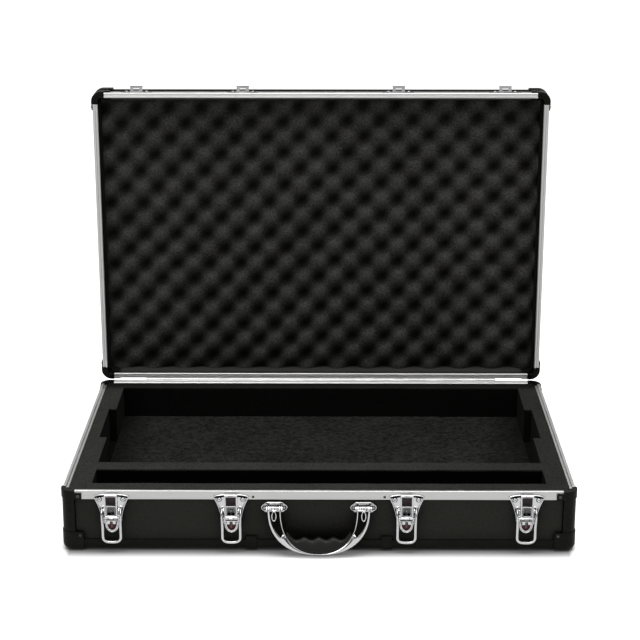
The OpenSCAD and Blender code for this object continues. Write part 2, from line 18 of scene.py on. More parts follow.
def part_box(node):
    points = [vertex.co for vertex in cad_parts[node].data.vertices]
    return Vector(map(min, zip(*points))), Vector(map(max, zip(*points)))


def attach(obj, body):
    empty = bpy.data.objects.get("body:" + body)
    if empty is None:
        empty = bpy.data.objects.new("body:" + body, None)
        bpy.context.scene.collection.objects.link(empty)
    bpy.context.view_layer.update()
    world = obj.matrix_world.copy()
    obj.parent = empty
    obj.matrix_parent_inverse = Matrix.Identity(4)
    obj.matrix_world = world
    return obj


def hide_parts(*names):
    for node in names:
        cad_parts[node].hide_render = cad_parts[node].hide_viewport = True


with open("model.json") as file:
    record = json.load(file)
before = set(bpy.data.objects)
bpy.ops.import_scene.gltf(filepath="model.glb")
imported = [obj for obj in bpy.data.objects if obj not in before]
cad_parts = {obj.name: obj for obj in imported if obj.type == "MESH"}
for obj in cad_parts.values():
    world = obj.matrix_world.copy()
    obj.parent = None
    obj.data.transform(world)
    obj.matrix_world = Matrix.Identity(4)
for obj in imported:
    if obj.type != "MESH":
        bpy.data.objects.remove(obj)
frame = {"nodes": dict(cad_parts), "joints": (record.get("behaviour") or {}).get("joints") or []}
bpy.context.view_layer.update()

MM = 0.001
NODES = frame["nodes"]
JOINTS = {joint["name"]: joint for joint in frame["joints"]}
SCENE = bpy.context.scene
LATCHES = (1, 2, 3, 4)
SIDES = (-1, 1)


def box_mm(node):
    lo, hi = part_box(node)
    return np.array(lo) / MM, np.array(hi) / MM


def joint_mm(name):
    return np.array(JOINTS[name]["pos_m"]) / MM


FACE_Y = box_mm("base_front_frame")[0][1]  # outer face of the front frame
TRAY_TOP = box_mm("base_foam_insert")[1][2]
EGG_LO, EGG_HI = box_mm("lid_egg_crate_foam")


# ------------------------------------------------------------------ objects and meshes
def link(ob):
    SCENE.collection.objects.link(ob)
    return ob


@contextmanager
def editing(me):
    """The mesh as a bmesh, written back at the end."""
    bm = bmesh.new()
    bm.from_mesh(me)
    yield bm
    bm.to_mesh(me)
    bm.free()


def weld(bm, join_within, sliver):
    """Joins close points and removes slivers; both distances are in metres."""
    bmesh.ops.remove_doubles(bm, verts=bm.verts, dist=join_within)
    bmesh.ops.dissolve_degenerate(bm, edges=bm.edges, dist=sliver)


def shade(ob, angle):
    """Smooth shading with edges sharper than angle (degrees) kept, or flat for None."""
    if angle is None:
        ob.data.shade_flat()
    else:
        ob.data.shade_smooth()
        ob.data.set_sharp_from_angle(angle=math.radians(angle))


def mesh_object(name, mesh, mat, angle):
    """An object from (points, faces), welded, with its normals facing out."""
    verts, faces = mesh
    me = bpy.data.meshes.new(name)
    bm = bmesh.new()
    points = [bm.verts.new([c * MM for c in v]) for v in verts]
    for face in faces:
        ids = [i for k, i in enumerate(face) if i != face[k - 1]]
        if len(set(ids)) >= 3:
            try:
                bm.faces.new([points[i] for i in ids])
            except ValueError:
                pass  # the same face was already made
    weld(bm, 2e-6, 1e-6)
    bmesh.ops.recalc_face_normals(bm, faces=bm.faces)
    bm.to_mesh(me)
    bm.free()
    ob = link(bpy.data.objects.new(name, me))
    shade(ob, angle)
    me.materials.append(mat)
    return ob


def join(name, parts):
    """Joins finished objects into one, keeping their materials."""
    bpy.ops.object.select_all(action="DESELECT")
    for part_ob in parts:
        part_ob.select_set(True)
    bpy.context.view_layer.objects.active = parts[0]
    bpy.ops.object.join()
    ob = bpy.context.view_layer.objects.active
    ob.name = name
    ob.data.name = name
    ob.select_set(False)
    return ob


def finish(ob, body, slot, *nodes):
    """Attaches a piece to its body and hides the CAD nodes it replaces; slot is not used."""
    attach(ob, body)
    if nodes:
        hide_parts(*nodes)


def fresh_copy(node, name):
    """A welded copy of a CAD node's mesh, without UV maps or custom normals."""
    bm = bmesh.new()
    bm.from_mesh(NODES[node].data)
    weld(bm, 4e-6, 2e-6)
    for key in list(bm.loops.layers.uv.keys()):
        bm.loops.layers.uv.remove(bm.loops.layers.uv[key])
    me = bpy.data.meshes.new(name)
    bm.to_mesh(me)
    bm.free()
    if "custom_normal" in me.attributes:
        me.attributes.remove(me.attributes["custom_normal"])
    return link(bpy.data.objects.new(name, me))


def apply_modifiers(ob):
    depsgraph = bpy.context.evaluated_depsgraph_get()
    depsgraph.update()
    me = bpy.data.meshes.new_from_object(ob.evaluated_get(depsgraph), depsgraph=depsgraph)
    ob.modifiers.clear()
    old = ob.data
    ob.data = me
    bpy.data.meshes.remove(old)
    me.name = ob.name


def bevelled_copy(node, name, flat, width, segments, angle, miter="MITER_SHARP"):
    """A CAD node with faces within flat degrees merged and edges over angle degrees rounded."""
    ob = fresh_copy(node, name)
    with editing(ob.data) as bm:
        bmesh.ops.dissolve_limit(bm, angle_limit=math.radians(flat), verts=bm.verts,
                                 edges=bm.edges)
    bevel = ob.modifiers.new("edges", "BEVEL")
    bevel.width = width * MM
    bevel.segments = segments
    bevel.limit_method = "ANGLE"
    bevel.angle_limit = math.radians(angle)
    bevel.use_clamp_overlap = True
    bevel.miter_outer = miter
    apply_modifiers(ob)
    return ob


def soften(node, name, mat, body, slot, width, segments=2):
    """The node's own shape with its flats merged and its edges broken, as a finished piece."""
    ob = bevelled_copy(node, name, flat=0.4, width=width, segments=segments, angle=28.0,
                       miter="MITER_ARC")
    with editing(ob.data) as bm:
        weld(bm, 1e-6, 1e-6)
        bmesh.ops.recalc_face_normals(bm, faces=bm.faces)
    shade(ob, 36.0)
    normals = ob.modifiers.new("normals", "WEIGHTED_NORMAL")
    normals.keep_sharp = True
    normals.weight = 80
    ob.data.materials.clear()
    ob.data.materials.append(mat)
    finish(ob, body, slot, node)


# ------------------------------------------------------------------ shader nodes
class Graph:
    """Builds a node tree. Values may be numbers, colours or the outputs of other nodes."""

    def __init__(self, owner):
        self.owner = owner
        owner.use_nodes = True
        self.tree = owner.node_tree
        self.tree.nodes.clear()

    def node(self, kind, inputs=None, **settings):
        node = self.tree.nodes.new("ShaderNode" + kind)
        for key, value in settings.items():
            setattr(node, key, value)
        for key, value in (inputs or {}).items():
            socket = node.inputs[key]
            if isinstance(value, bpy.types.NodeSocket):
                self.tree.links.new(value, socket)
            elif socket.type == "RGBA":
                socket.default_value = (*value, 1.0)
            else:
                socket.default_value = value
        return node

    def surface(self, **inputs):
        """Ends a material with a principled surface and returns the material."""
        named = {key.replace("_", " "): value for key, value in inputs.items()}
        bsdf = self.node("BsdfPrincipled", named)
        self.node("OutputMaterial", {"Surface": bsdf.outputs[0]})
        return self.owner

    def coords(self, scale=(1, 1, 1), rotation=(0, 0, 0)):
        """Object coordinates, in metres before scaling."""
        source = self.node("TexCoord").outputs["Object"]
        inputs = {"Vector": source, "Scale": scale, "Rotation": rotation}
        return self.node("Mapping", inputs).outputs[0]

    def split(self, vector):
        return self.node("SeparateXYZ", {0: vector}).outputs

    def noise(self, vector, scale, detail=3.0, rough=0.5, distortion=0.0):
        inputs = {"Vector": vector, "Scale": scale, "Detail": detail, "Roughness": rough,
                  "Distortion": distortion}
        return self.node("TexNoise", inputs).outputs["Fac"]

    def voronoi(self, vector, scale, feature="F1"):
        inputs = {"Vector": vector, "Scale": scale}
        return self.node("TexVoronoi", inputs, feature=feature).outputs["Distance"]

    def remap(self, value, span, to=(0.0, 1.0), smooth=False):
        """Carries the range span onto the range to."""
        inputs = {"Value": value, "From Min": span[0], "From Max": span[1],
                  "To Min": to[0], "To Max": to[1]}
        kind = "SMOOTHSTEP" if smooth else "LINEAR"
        return self.node("MapRange", inputs, interpolation_type=kind).outputs["Result"]

    def math(self, operation, a, b=0.0):
        return self.node("Math", {0: a, 1: b}, operation=operation).outputs[0]

    def add(self, a, b):
        return self.math("ADD", a, b)

    def times(self, a, b):
        return self.math("MULTIPLY", a, b)

    def less(self, a, b):
        return self.math("SUBTRACT", a, b)

    def mix(self, factor, a, b):
        return self.node("Mix", {0: factor, 6: a, 7: b}, data_type="RGBA").outputs[2]

    def darken(self, colour, factor):
        """The colour times a grey factor."""
        grey = self.node("CombineColor", {0: factor, 1: factor, 2: factor}).outputs[0]
        mix = self.node("Mix", {0: 1.0}, data_type="RGBA", blend_type="MULTIPLY")
        self.tree.links.new(colour, mix.inputs[6])
        self.tree.links.new(grey, mix.inputs[7])
        return mix.outputs[2]

    def bump(self, height, depth, strength):
        inputs = {"Height": height, "Strength": strength, "Distance": depth * MM}
        return self.node("Bump", inputs).outputs["Normal"]

    def along(self, axis, span, to):
        """Eases between the values of to as the object's coordinate crosses span (mm)."""
        metres = (span[0] * MM, span[1] * MM)
        return self.remap(self.split(self.coords())[axis], metres, to, smooth=True)

    def openness(self, distance, samples):
        """1 in the open, falling to 0 in corners within distance (mm)."""
        inputs = {"Distance": distance * MM}
        return self.node("AmbientOcclusion", inputs, samples=samples).outputs["AO"]


def tinted(colour, gain, lift=0.0):
    return tuple(c * gain + lift for c in colour)


def new_material(name):
    return Graph(bpy.data.materials.new(name))


# ------------------------------------------------------------------ materials
def laminate_material():
    """Pebbled black laminate, with painted shade darkening it in corners and beside the fittings.
    """
    g = new_material("panel_laminate")
    vec = g.coords()
    cells = g.voronoi(vec, scale=1500.0, feature="DISTANCE_TO_EDGE")
    grain = g.noise(vec, scale=900.0, detail=4.0, rough=0.6)
    broad = g.noise(vec, scale=9.0, detail=2.0)
    pebble = g.noise(vec, scale=420.0, rough=0.65)
    colour = g.mix(g.remap(broad, span=(0.3, 0.7)),
                   (0.0080, 0.0080, 0.0071), (0.0114, 0.0113, 0.0100))
    colour = g.darken(colour, g.remap(pebble, span=(0.35, 0.65), to=(0.55, 1.4)))
    # painted shade: ambient occlusion darkens the colour and dims the reflection in corners and
    # beside the fittings
    painted_shade_openness = g.remap(g.openness(distance=34.0, samples=4), span=(0.35, 0.92))
    corner_light, open_gain, open_specular = 0.2, 0.8, 0.24
    colour = g.darken(colour, g.add(corner_light, g.times(painted_shade_openness, open_gain)))
    # roughness follows the broad patches and the grain equally
    patches = g.add(g.times(broad, 0.5), g.times(grain, 0.5))
    grain_height = 0.6
    height = g.add(g.remap(cells, span=(0.0, 0.12), smooth=True), g.times(grain, grain_height))
    return g.surface(
        Base_Color=colour,
        Specular_IOR_Level=g.times(open_specular, painted_shade_openness),
        Specular_Tint=(1.0, 1.0, 0.87),
        Roughness=g.remap(patches, span=(0.3, 0.7), to=(0.38, 0.56)),
        Normal=g.bump(height, depth=0.10, strength=0.55))


def plastic_material(name, base, rough, specular, scale, edge_wear_and_highlight, depth=0.05):
    """Moulded plastic with a fine grain and lighter convex edges, partly rubbed wear and partly a
    painted highlight.
    """
    g = new_material(name)
    vec = g.coords()
    fine = g.noise(vec, scale=scale, rough=0.55)
    broad = g.noise(vec, scale=26.0, rough=0.6)
    mottled = g.mix(g.remap(broad, span=(0.35, 0.7), to=(0.0, 0.2)),
                    base, tinted(base, gain=2.3, lift=0.006))
    pointiness = g.node("NewGeometry").outputs["Pointiness"]
    edges = g.remap(pointiness, span=(0.505, 0.56), smooth=True)
    scuffs = g.remap(g.noise(vec, scale=160.0, detail=4.0, rough=0.65), span=(0.42, 0.6))
    # lighter convex edges: partly scuffed wear, partly a painted highlight
    worn_and_lit_edges = g.times(edges, g.times(scuffs, edge_wear_and_highlight))
    # roughness is 60 % broad patches and 40 % grain
    patches = g.add(g.times(broad, 0.6), g.times(fine, 0.4))
    return g.surface(
        Base_Color=g.mix(worn_and_lit_edges, mottled, tinted(base, gain=4, lift=0.02)),
        Roughness=g.remap(patches, span=(0.35, 0.65), to=(rough - 0.08, rough + 0.1)),
        Normal=g.bump(fine, depth=depth, strength=0.6),
        Specular_IOR_Level=specular,
        Specular_Tint=(1.0, 1.0, 0.86))


def aluminium_material(name, axis, base=(0.80, 0.80, 0.79), rough=0.34):
    """Satin anodised extrusion, with its die lines along axis (0, 1 or 2)."""
    g = new_material(name)

    def streaks(across, lengthwise):
        stretch = [across] * 3
        stretch[axis] = lengthwise
        return g.coords(scale=stretch)

    lines = g.noise(streaks(420.0, 3.0), scale=4.0, detail=4.0, rough=0.62)
    wide = g.noise(streaks(90.0, 0.9), scale=3.0)
    spots = g.noise(g.coords(), scale=55.0, detail=4.0, rough=0.6)
    scratch_stretch = [30.0, 260.0, 260.0] if axis == 0 else [260.0, 30.0, 260.0]
    scratches = g.noise(g.coords(scale=scratch_stretch, rotation=(0.12, 0.31, 0.07)),
                        scale=3.2, detail=2.0)
    lined = g.mix(g.remap(lines, span=(0.3, 0.7)), tinted(base, gain=0.86), base)
    colour = g.mix(g.remap(wide, span=(0.35, 0.65), to=(0.0, 0.35)),
                   lined, tinted(base, gain=0.9))
    roughness = g.add(g.remap(lines, span=(0.3, 0.7), to=(rough - 0.06, rough + 0.06)),
                      g.remap(spots, span=(0.4, 0.65), to=(0.0, 0.07)))
    scratch_height = 0.8
    height = g.add(lines, g.times(g.remap(scratches, span=(0.62, 0.72), smooth=True),
                                  scratch_height))
    return g.surface(Base_Color=colour, Roughness=roughness, Metallic=1.0,
                     Normal=g.bump(height, depth=0.03, strength=0.45))


def chrome_material():
    """Bright plate, hazed and lightly pitted, with painted shade making it almost black in its
    creases.
    """
    base, rough = (0.86, 0.86, 0.87), 0.085
    g = new_material("chrome_plate")
    vec = g.coords()
    haze = g.noise(vec, scale=38.0, detail=4.0, rough=0.6)
    micro = g.noise(g.coords(scale=(1.0, 1.0, 6.0), rotation=(0.3, 0.6, 0.2)),
                    scale=900.0, rough=0.55)
    pits = g.voronoi(vec, scale=420.0)
    open_metal = g.mix(g.remap(haze, span=(0.35, 0.7), to=(0.0, 0.5)),
                       base, tinted(base, gain=0.9))
    # painted shade: ambient occlusion turns the plate almost black in creases and recesses
    painted_shade_openness = g.remap(g.openness(distance=4.0, samples=6), span=(0.42, 0.86))
    micro_rough, haze_height, pit_height = 0.04, 0.5, 0.35
    roughness = g.add(g.remap(haze, span=(0.35, 0.7), to=(rough - 0.03, rough + 0.07)),
                      g.times(micro, micro_rough))
    height = g.add(g.times(haze, haze_height),
                   g.times(g.remap(pits, span=(0.0, 0.06)), pit_height))
    return g.surface(Base_Color=g.mix(painted_shade_openness, tinted(base, gain=0.045), open_metal),
                     Roughness=roughness, Metallic=1.0,
                     Normal=g.bump(height, depth=0.02, strength=0.35))


def metal_material(name, base, rough):
    g = new_material(name)
    vec = g.coords()
    patches = g.noise(vec, scale=180.0, detail=4.0, rough=0.6)
    fine = g.noise(vec, scale=1500.0, detail=2.0)
    return g.surface(
        Base_Color=g.mix(g.remap(patches, span=(0.35, 0.65)), base, tinted(base, gain=0.65)),
        Roughness=g.remap(patches, span=(0.3, 0.7), to=(rough - 0.08, rough + 0.12)),
        Normal=g.bump(fine, depth=0.03, strength=0.4), Metallic=1.0)


def foam_material(name, low, high, cell, depth, sheen, shading):
    """Open-cell foam, mottled from low to high. shading darkens the colour by place."""
    g = new_material(name)
    vec = g.coords()
    cells = g.voronoi(vec, scale=cell)
    large_cells = g.voronoi(vec, scale=cell * 0.47)
    fuzz = g.noise(vec, scale=cell * 1.3, detail=4.0, rough=0.7)
    broad = g.noise(vec, scale=14.0, detail=4.0, rough=0.6)
    speck = g.noise(vec, scale=cell * 0.42, detail=2.0, rough=0.6)
    # the mottling is 20 % broad patches and 80 % specks
    tone = g.add(g.times(broad, 0.2), g.times(speck, 0.8))
    colour = g.mix(g.remap(tone, span=(0.36, 0.64)), low, high)
    pores = g.remap(cells, span=(0.08, 0.36), to=(1.0, 0.0), smooth=True)
    pore_strength, large_height, fuzz_height = 0.45, 0.8, 0.5
    colour = g.mix(g.times(pores, pore_strength), colour, tinted(low, gain=0.35))
    colour = shading(g, colour)
    height = g.add(g.add(cells, g.times(large_cells, large_height)),
                   g.times(fuzz, fuzz_height))
    return g.surface(Base_Color=colour, Normal=g.bump(height, depth=depth, strength=0.75),
                     Roughness=0.97, Specular_IOR_Level=0.03, Sheen_Weight=sheen,
                     Sheen_Roughness=0.6, Sheen_Tint=(0.10, 0.10, 0.095))


def tray_shading(g, colour):
    """Painted shade: darker cut walls, most of all at the front and left, darker towards the lid
    and towards the right end.
    """
    wall = g.along("Z", (TRAY_TOP - 2.8, TRAY_TOP - 0.6), to=(1.0, 0.0))
    front_slot = g.along("Y", (-140.0, -130.0), to=(0.175, 0.0))
    wall_shade = 0.81
    colour = g.darken(colour, g.less(1.0, g.times(wall, g.add(wall_shade, front_slot))))
    # painted shade cast by the open lid over the rear strip
    colour = g.darken(colour, g.along("Y", (168.0, 192.0), to=(1.0, 0.22)))
    left_end = g.along("X", (-298.0, -245.0), to=(0.62, 0.0))
    colour = g.darken(colour, g.less(1.0, g.times(wall, left_end)))
    # painted shade: the light falls off towards the right end
    return g.darken(colour, g.along("X", (40.0, 330.0), to=(1.0, 0.74)))


def egg_shading(g, colour):
    """Darker in the hollows and low down, with the slopes facing right and up lightened."""
    colour = g.darken(colour, g.along("Y", (EGG_LO[1] + 0.5, EGG_LO[1] + 12.5), to=(1.0, 0.2)))
    colour = g.darken(colour, g.along("Z", (EGG_LO[2] + 4, EGG_LO[2] + 44), to=(0.66, 1.0)))
    normal = g.node("TexCoord").outputs["Normal"]
    light_from = (0.42, 0.0, 0.9)
    facing = g.node("VectorMath", {0: normal, 1: light_from}, operation="DOT_PRODUCT")
    return g.darken(colour, g.remap(facing.outputs["Value"], span=(-0.55, 0.55),
                                    to=(0.62, 1.3)))


def lining_shading(g, colour):
    """Dark at both ends."""
    colour = g.darken(colour, g.along("X", (-309.0, -303.0), to=(0.12, 1.0)))
    return g.darken(colour, g.along("X", (303.0, 309.0), to=(1.0, 0.12)))


def carpet_material():
    """Short looped needle-felt: crossing fibres over small tufts."""
    g = new_material("loop_carpet")
    vec = g.coords()
    layers = [g.noise(g.coords(scale=stretch, rotation=(0, 0, turn)),
                      scale=density, rough=0.6, distortion=distortion)
              for stretch, turn, density, distortion in (
                  ((1.0, 3.2, 1.0), 0.5, 330.0, 0.5),
                  ((3.2, 1.0, 1.0), 0.25, 310.0, 0.5),
                  ((1.0, 3.0, 1.0), -0.7, 360.0, 0.6))]
    tufts = g.voronoi(vec, scale=330.0)
    broad = g.noise(vec, scale=16.0, detail=4.0, rough=0.65)
    fibres = g.math("MAXIMUM", g.math("MAXIMUM", layers[0], layers[1]), layers[2])
    mottle = g.noise(vec, scale=150.0, detail=4.0, rough=0.65)
    # the tone is 55 % fibres, 35 % mottling and 10 % broad patches
    tone = g.add(g.times(fibres, 0.55), g.add(g.times(mottle, 0.35), g.times(broad, 0.1)))
    colour = g.mix(g.remap(tone, span=(0.48, 0.61)),
                   (0.0024, 0.0024, 0.0022), (0.0275, 0.0274, 0.0247))
    # the recess's end walls keep the light off both ends of the board
    colour = g.darken(colour, g.along("X", (-300.0, -236.0), to=(0.24, 1.0)))
    colour = g.darken(colour, g.along("X", (218.0, 300.0), to=(1.0, 0.42)))
    tuft_height = 0.7
    height = g.add(fibres, g.times(tufts, tuft_height))
    return g.surface(Base_Color=colour, Normal=g.bump(height, depth=0.9, strength=0.85),
                     Roughness=0.98, Specular_IOR_Level=0.03, Sheen_Weight=0.12,
                     Sheen_Roughness=0.5, Sheen_Tint=(0.25, 0.25, 0.24))


def plywood_material():
    g = new_material("board_plywood")
    rings = g.noise(g.coords(scale=(1.0, 9.0, 30.0)),
                    scale=14.0, detail=5.0, rough=0.6, distortion=1.2)
    fibre = g.noise(g.coords(scale=(4.0, 220.0, 220.0)), scale=3.0, rough=0.6)
    return g.surface(
        Base_Color=g.mix(g.remap(rings, span=(0.35, 0.65)),
                         (0.16, 0.095, 0.05), (0.30, 0.20, 0.115)),
        Roughness=g.remap(fibre, span=(0.3, 0.7), to=(0.5, 0.75)),
        Normal=g.bump(fibre, depth=0.1, strength=0.5))


def fibre_material(name, low, high):
    """Vulcanised fibre, seen through the latches' windows."""
    g = new_material(name)
    grain = g.noise(g.coords(), scale=500.0, detail=4.0, rough=0.65)
    return g.surface(
        Base_Color=g.mix(g.remap(grain, span=(0.35, 0.65)), low, high),
        Roughness=g.remap(grain, span=(0.3, 0.7), to=(0.35, 0.6)),
        Normal=g.bump(grain, depth=0.08, strength=0.5))


LAMINATE = laminate_material()
CORNER = plastic_material("corner_plastic", base=(0.0030, 0.0030, 0.0026), rough=0.27,
                          specular=0.12, scale=650.0, edge_wear_and_highlight=0.10)
TRIM = plastic_material("edge_trim_plastic", base=(0.0033, 0.0033, 0.0029), rough=0.4,
                        specular=0.11, scale=800.0, edge_wear_and_highlight=0.08)
GRIP = plastic_material("grip_plastic", base=(0.0060, 0.0060, 0.0063), rough=0.42,
                        specular=0.24, scale=1100.0, edge_wear_and_highlight=0.15, depth=0.09)
INLAY = plastic_material("inlay_plastic", base=(0.0018, 0.0018, 0.0016), rough=0.55,
                         specular=0.025, scale=900.0, edge_wear_and_highlight=0.05)
ALU_X = aluminium_material("frame_aluminium_x", axis=0)
ALU_Y = aluminium_material("frame_aluminium_y", axis=1)
ALU_Z = aluminium_material("frame_aluminium_z", axis=2)
HINGE_ALU = aluminium_material("hinge_aluminium", axis=0, base=(0.70, 0.70, 0.70), rough=0.3)
CHROME = chrome_material()
STEEL = metal_material("bright_steel", base=(0.62, 0.62, 0.63), rough=0.24)
SPRING = metal_material("spring_steel", base=(0.20, 0.20, 0.21), rough=0.3)
DARK_STEEL = metal_material("dark_steel", base=(0.10, 0.10, 0.105), rough=0.38)
FOAM_BASE = foam_material("base_foam", low=(0.018, 0.018, 0.0168), high=(0.044, 0.0438, 0.0400),
                          cell=1250.0, depth=0.30, sheen=0.10, shading=tray_shading)
FOAM_EGG = foam_material("egg_crate_foam", low=(0.022, 0.022, 0.0205),
                         high=(0.058, 0.0577, 0.0525),
                         cell=1050.0, depth=0.42, sheen=0.08, shading=egg_shading)
FOAM_LINING = foam_material("side_lining", low=(0.030, 0.030, 0.029),
                            high=(0.046, 0.0455, 0.043),
                            cell=1400.0, depth=0.25, sheen=0.1, shading=lining_shading)
CARPET = carpet_material()
PLYWOOD = plywood_material()
FIBRE = fibre_material("red_fibre", low=(0.050, 0.003, 0.004), high=(0.125, 0.008, 0.010))
FIBRE_DARK = fibre_material("dark_fibre", low=(0.009, 0.0035, 0.0035),
                            high=(0.024, 0.0085, 0.008))


# ------------------------------------------------------------------ outlines
def ccw(loop):
    points = np.array(loop, float)
    ahead = np.roll(points, -1, 0)
    area = (points[:, 0] * ahead[:, 1] - ahead[:, 0] * points[:, 1]).sum()
    return points if area > 0 else points[::-1]


def inset(loop, distance):
    """Moves a loop into the material on its left."""
    points = np.array(loop, float)
    if abs(distance) < 1e-9:
        return points
    edges = np.roll(points, -1, 0) - points
    edges /= np.maximum(np.linalg.norm(edges, axis=1), 1e-9)[:, None]
    normals = np.stack([-edges[:, 1], edges[:, 0]], 1)
    bisectors = np.roll(normals, 1, 0) + normals
    bisectors /= np.maximum(np.linalg.norm(bisectors, axis=1), 1e-9)[:, None]
    cosines = np.maximum((bisectors * normals).sum(1), 0.55)  # limits the miter at sharp corners
    return points + bisectors * (distance / cosines)[:, None]


def rounded(x0, y0, x1, y1, radius, steps=5):
    """A rectangle with rounded corners."""
    corners = ((x1 - radius, y0 + radius, -90), (x1 - radius, y1 - radius, 0),
               (x0 + radius, y1 - radius, 90), (x0 + radius, y0 + radius, 180))
    out = []
    for centre_x, centre_y, start in corners:
        for i in range(steps + 1):
            angle = math.radians(start + 90 * i / steps)
            out.append((centre_x + radius * math.cos(angle), centre_y + radius * math.sin(angle)))
    return out


def ellipse(x, y, half_x, half_y, count):
    return [(x + half_x * math.cos(2 * math.pi * i / count),
             y + half_y * math.sin(2 * math.pi * i / count)) for i in range(count)]


def disc(x, y, radius, count):
    return ellipse(x, y, radius, radius, count)


def arc(x, y, radius, start, stop, count):
    """Part of a circle, from start to stop degrees."""
    return [(x + radius * math.cos(angle), y + radius * math.sin(angle))
            for angle in np.linspace(math.radians(start), math.radians(stop), count)]


def bowl(half_width, depth, z, steps):
    """The lower half of an ellipse, from left to right."""
    return [(-half_width * math.cos(math.pi * i / steps), z - depth * math.sin(math.pi * i / steps))
            for i in range(steps + 1)]


def superellipse(half_x, half_y, power, count):
    out = []
    for i in range(count):
        angle = 2 * math.pi * (i + 0.5) / count
        c, s = math.cos(angle), math.sin(angle)
        out.append((half_x * math.copysign(abs(c) ** (2 / power), c),
                    half_y * math.copysign(abs(s) ** (2 / power), s)))
    return out


def mirrored(half):
    """A path of (x, out, z) points ending at x = 0, continued by its mirror image."""
    return half + [(-x, out, z) for x, out, z in half[-2::-1]]


def smooth_path(points, per=5):
    """A Catmull-Rom curve through points, with per steps between each two."""
    p = [np.array(point, float) for point in points]
    out = []
    for i in range(len(p) - 1):
        a, b = p[i], p[i + 1]
        before = p[i - 1] if i > 0 else 2 * a - b
        after = p[i + 2] if i + 2 < len(p) else 2 * b - a
        for k in range(per):
            t = k / per
            out.append(0.5 * (2 * a + (b - before) * t
                              + (2 * before - 5 * a + 4 * b - after) * t * t
                              + (3 * a - before - 3 * b + after) * t ** 3))
    out.append(p[-1])
    return out


# ------------------------------------------------------------------ solids as (points, faces)
def bridge(rings, faces):
    """Adds the quads between neighbouring rings of point numbers."""
    for a, b in zip(rings, rings[1:]):
        for i in range(len(a)):
            j = (i + 1) % len(a)
            faces.append((a[i], a[j], b[j], b[i]))


def relief(outline, steps, holes=(), hole_steps=None):
    """A closed plate. steps are (inset, height) from the back edge to the front cap."""
    verts, faces, walls = [], [], []
    hole_steps = hole_steps or [(0.0, steps[0][1]), (0.0, steps[-1][1])]
    loops = [(ccw(outline), steps)] + [(ccw(hole)[::-1], hole_steps) for hole in holes]
    for loop, rows in loops:
        rings = []
        for distance, height in rows:
            rings.append(list(range(len(verts), len(verts) + len(loop))))
            verts.extend([(x, y, height) for x, y in inset(loop, distance)])
        bridge(rings, faces)
        walls.append(rings)
    for end, turn in ((0, -1), (-1, 1)):
        rims = [rings[end] for rings in walls]
        points = [[Vector((verts[i][0], verts[i][1], 0.0)) for i in rim] for rim in rims]
        flat = [i for rim in rims for i in rim]
        for triangle in tessellate_polygon(points):
            faces.append(tuple(flat[i] for i in triangle)[::turn])
    return verts, faces


def lathe(profile, count):
    """A solid of revolution about +Z, from (radius, height) pairs."""
    verts, faces, rings = [], [], []
    for radius, z in profile:
        if radius < 1e-6:
            rings.append([len(verts)] * count)
            verts.append((0.0, 0.0, z))
        else:
            rings.append(list(range(len(verts), len(verts) + count)))
            verts.extend([(x, y, z) for x, y in disc(0.0, 0.0, radius, count)])
    bridge(rings, faces)
    return verts, faces


def band_profile(centre, inner, edge, outer, half_width, half_flat):
    """A (radius, height) ring whose outside runs from edge up to outer radius."""
    return [(inner, centre - half_width), (edge, centre - half_width),
            (outer, centre - half_flat), (outer, centre + half_flat),
            (edge, centre + half_width), (inner, centre + half_width),
            (inner, centre - half_width)]


def skin(point_rings, closed=False):
    """Joins rings of points into a solid, capped at both ends unless closed."""
    size = len(point_rings[0])
    verts = [point for ring in point_rings for point in ring]
    rings = [list(range(start, start + size)) for start in range(0, len(verts), size)]
    faces = []
    bridge(rings + rings[:1] if closed else rings, faces)
    if not closed:
        faces += [tuple(rings[0][::-1]), tuple(rings[-1])]
    return verts, faces


def sweep(path, sections, up, closed=False):
    """Sweeps sections of (side, up) pairs, one per point, along a path."""
    p = np.array(path, float)
    count = len(p)
    up = np.array(up, float)
    rings = []
    for i, section in enumerate(sections):
        if closed:
            tangent = p[(i + 1) % count] - p[i - 1]
        else:
            tangent = p[min(i + 1, count - 1)] - p[max(i - 1, 0)]
        tangent /= max(np.linalg.norm(tangent), 1e-9)
        side = np.cross(tangent, up)
        side /= max(np.linalg.norm(side), 1e-9)
        rise = np.cross(side, tangent)
        rings.append([tuple(p[i] + side * a + rise * b) for a, b in section])
    return skin(rings, closed)


# ------------------------------------------------------------------ placing on the front face
def at_face(x, z, out):
    """(x, height, distance out from the front face) to the frame."""
    return (x, FACE_Y - out, z)


def on_face(x, z, out=0.0):
    """Places a solid at a point of the front face, its own Z facing out."""
    return lambda a, b, c: at_face(x + a, z + b, out + c)


def across(x=0.0, scale=1.0, out=0.0, height=0.0):
    """Places a solid drawn in (out, height), its own Z along X times scale."""
    return lambda a, b, c: at_face(x + scale * c, height + b, out + a)


def face_path(points):
    """A smooth path through (x, out, z) points."""
    return smooth_path([at_face(x, z, out) for x, out, z in points])


def placed(mesh, place):
    return [place(*v) for v in mesh[0]], mesh[1]


def part(mesh, place=at_face, angle=40, mat=CHROME):
    """One object to be joined into a larger piece."""
    return mesh_object("part", placed(mesh, place), mat, angle)


# ------------------------------------------------------------------ foam and carpet tools
def field(seed, x, y, cell):
    """Smooth noise from -1 to 1 at points x, y."""
    grid = np.random.default_rng(seed).random((64, 64)) * 2 - 1
    u, v = np.asarray(x) / cell + 31.7, np.asarray(y) / cell + 17.3
    i, j = np.floor(u).astype(int), np.floor(v).astype(int)
    u, v = u - i, v - j
    u, v = u * u * (3 - 2 * u), v * v * (3 - 2 * v)

    def value(a, b):
        return grid[a % 64, b % 64]

    return ((value(i, j) * (1 - u) + value(i + 1, j) * u) * (1 - v)
            + (value(i, j + 1) * (1 - u) + value(i + 1, j + 1) * u) * v)


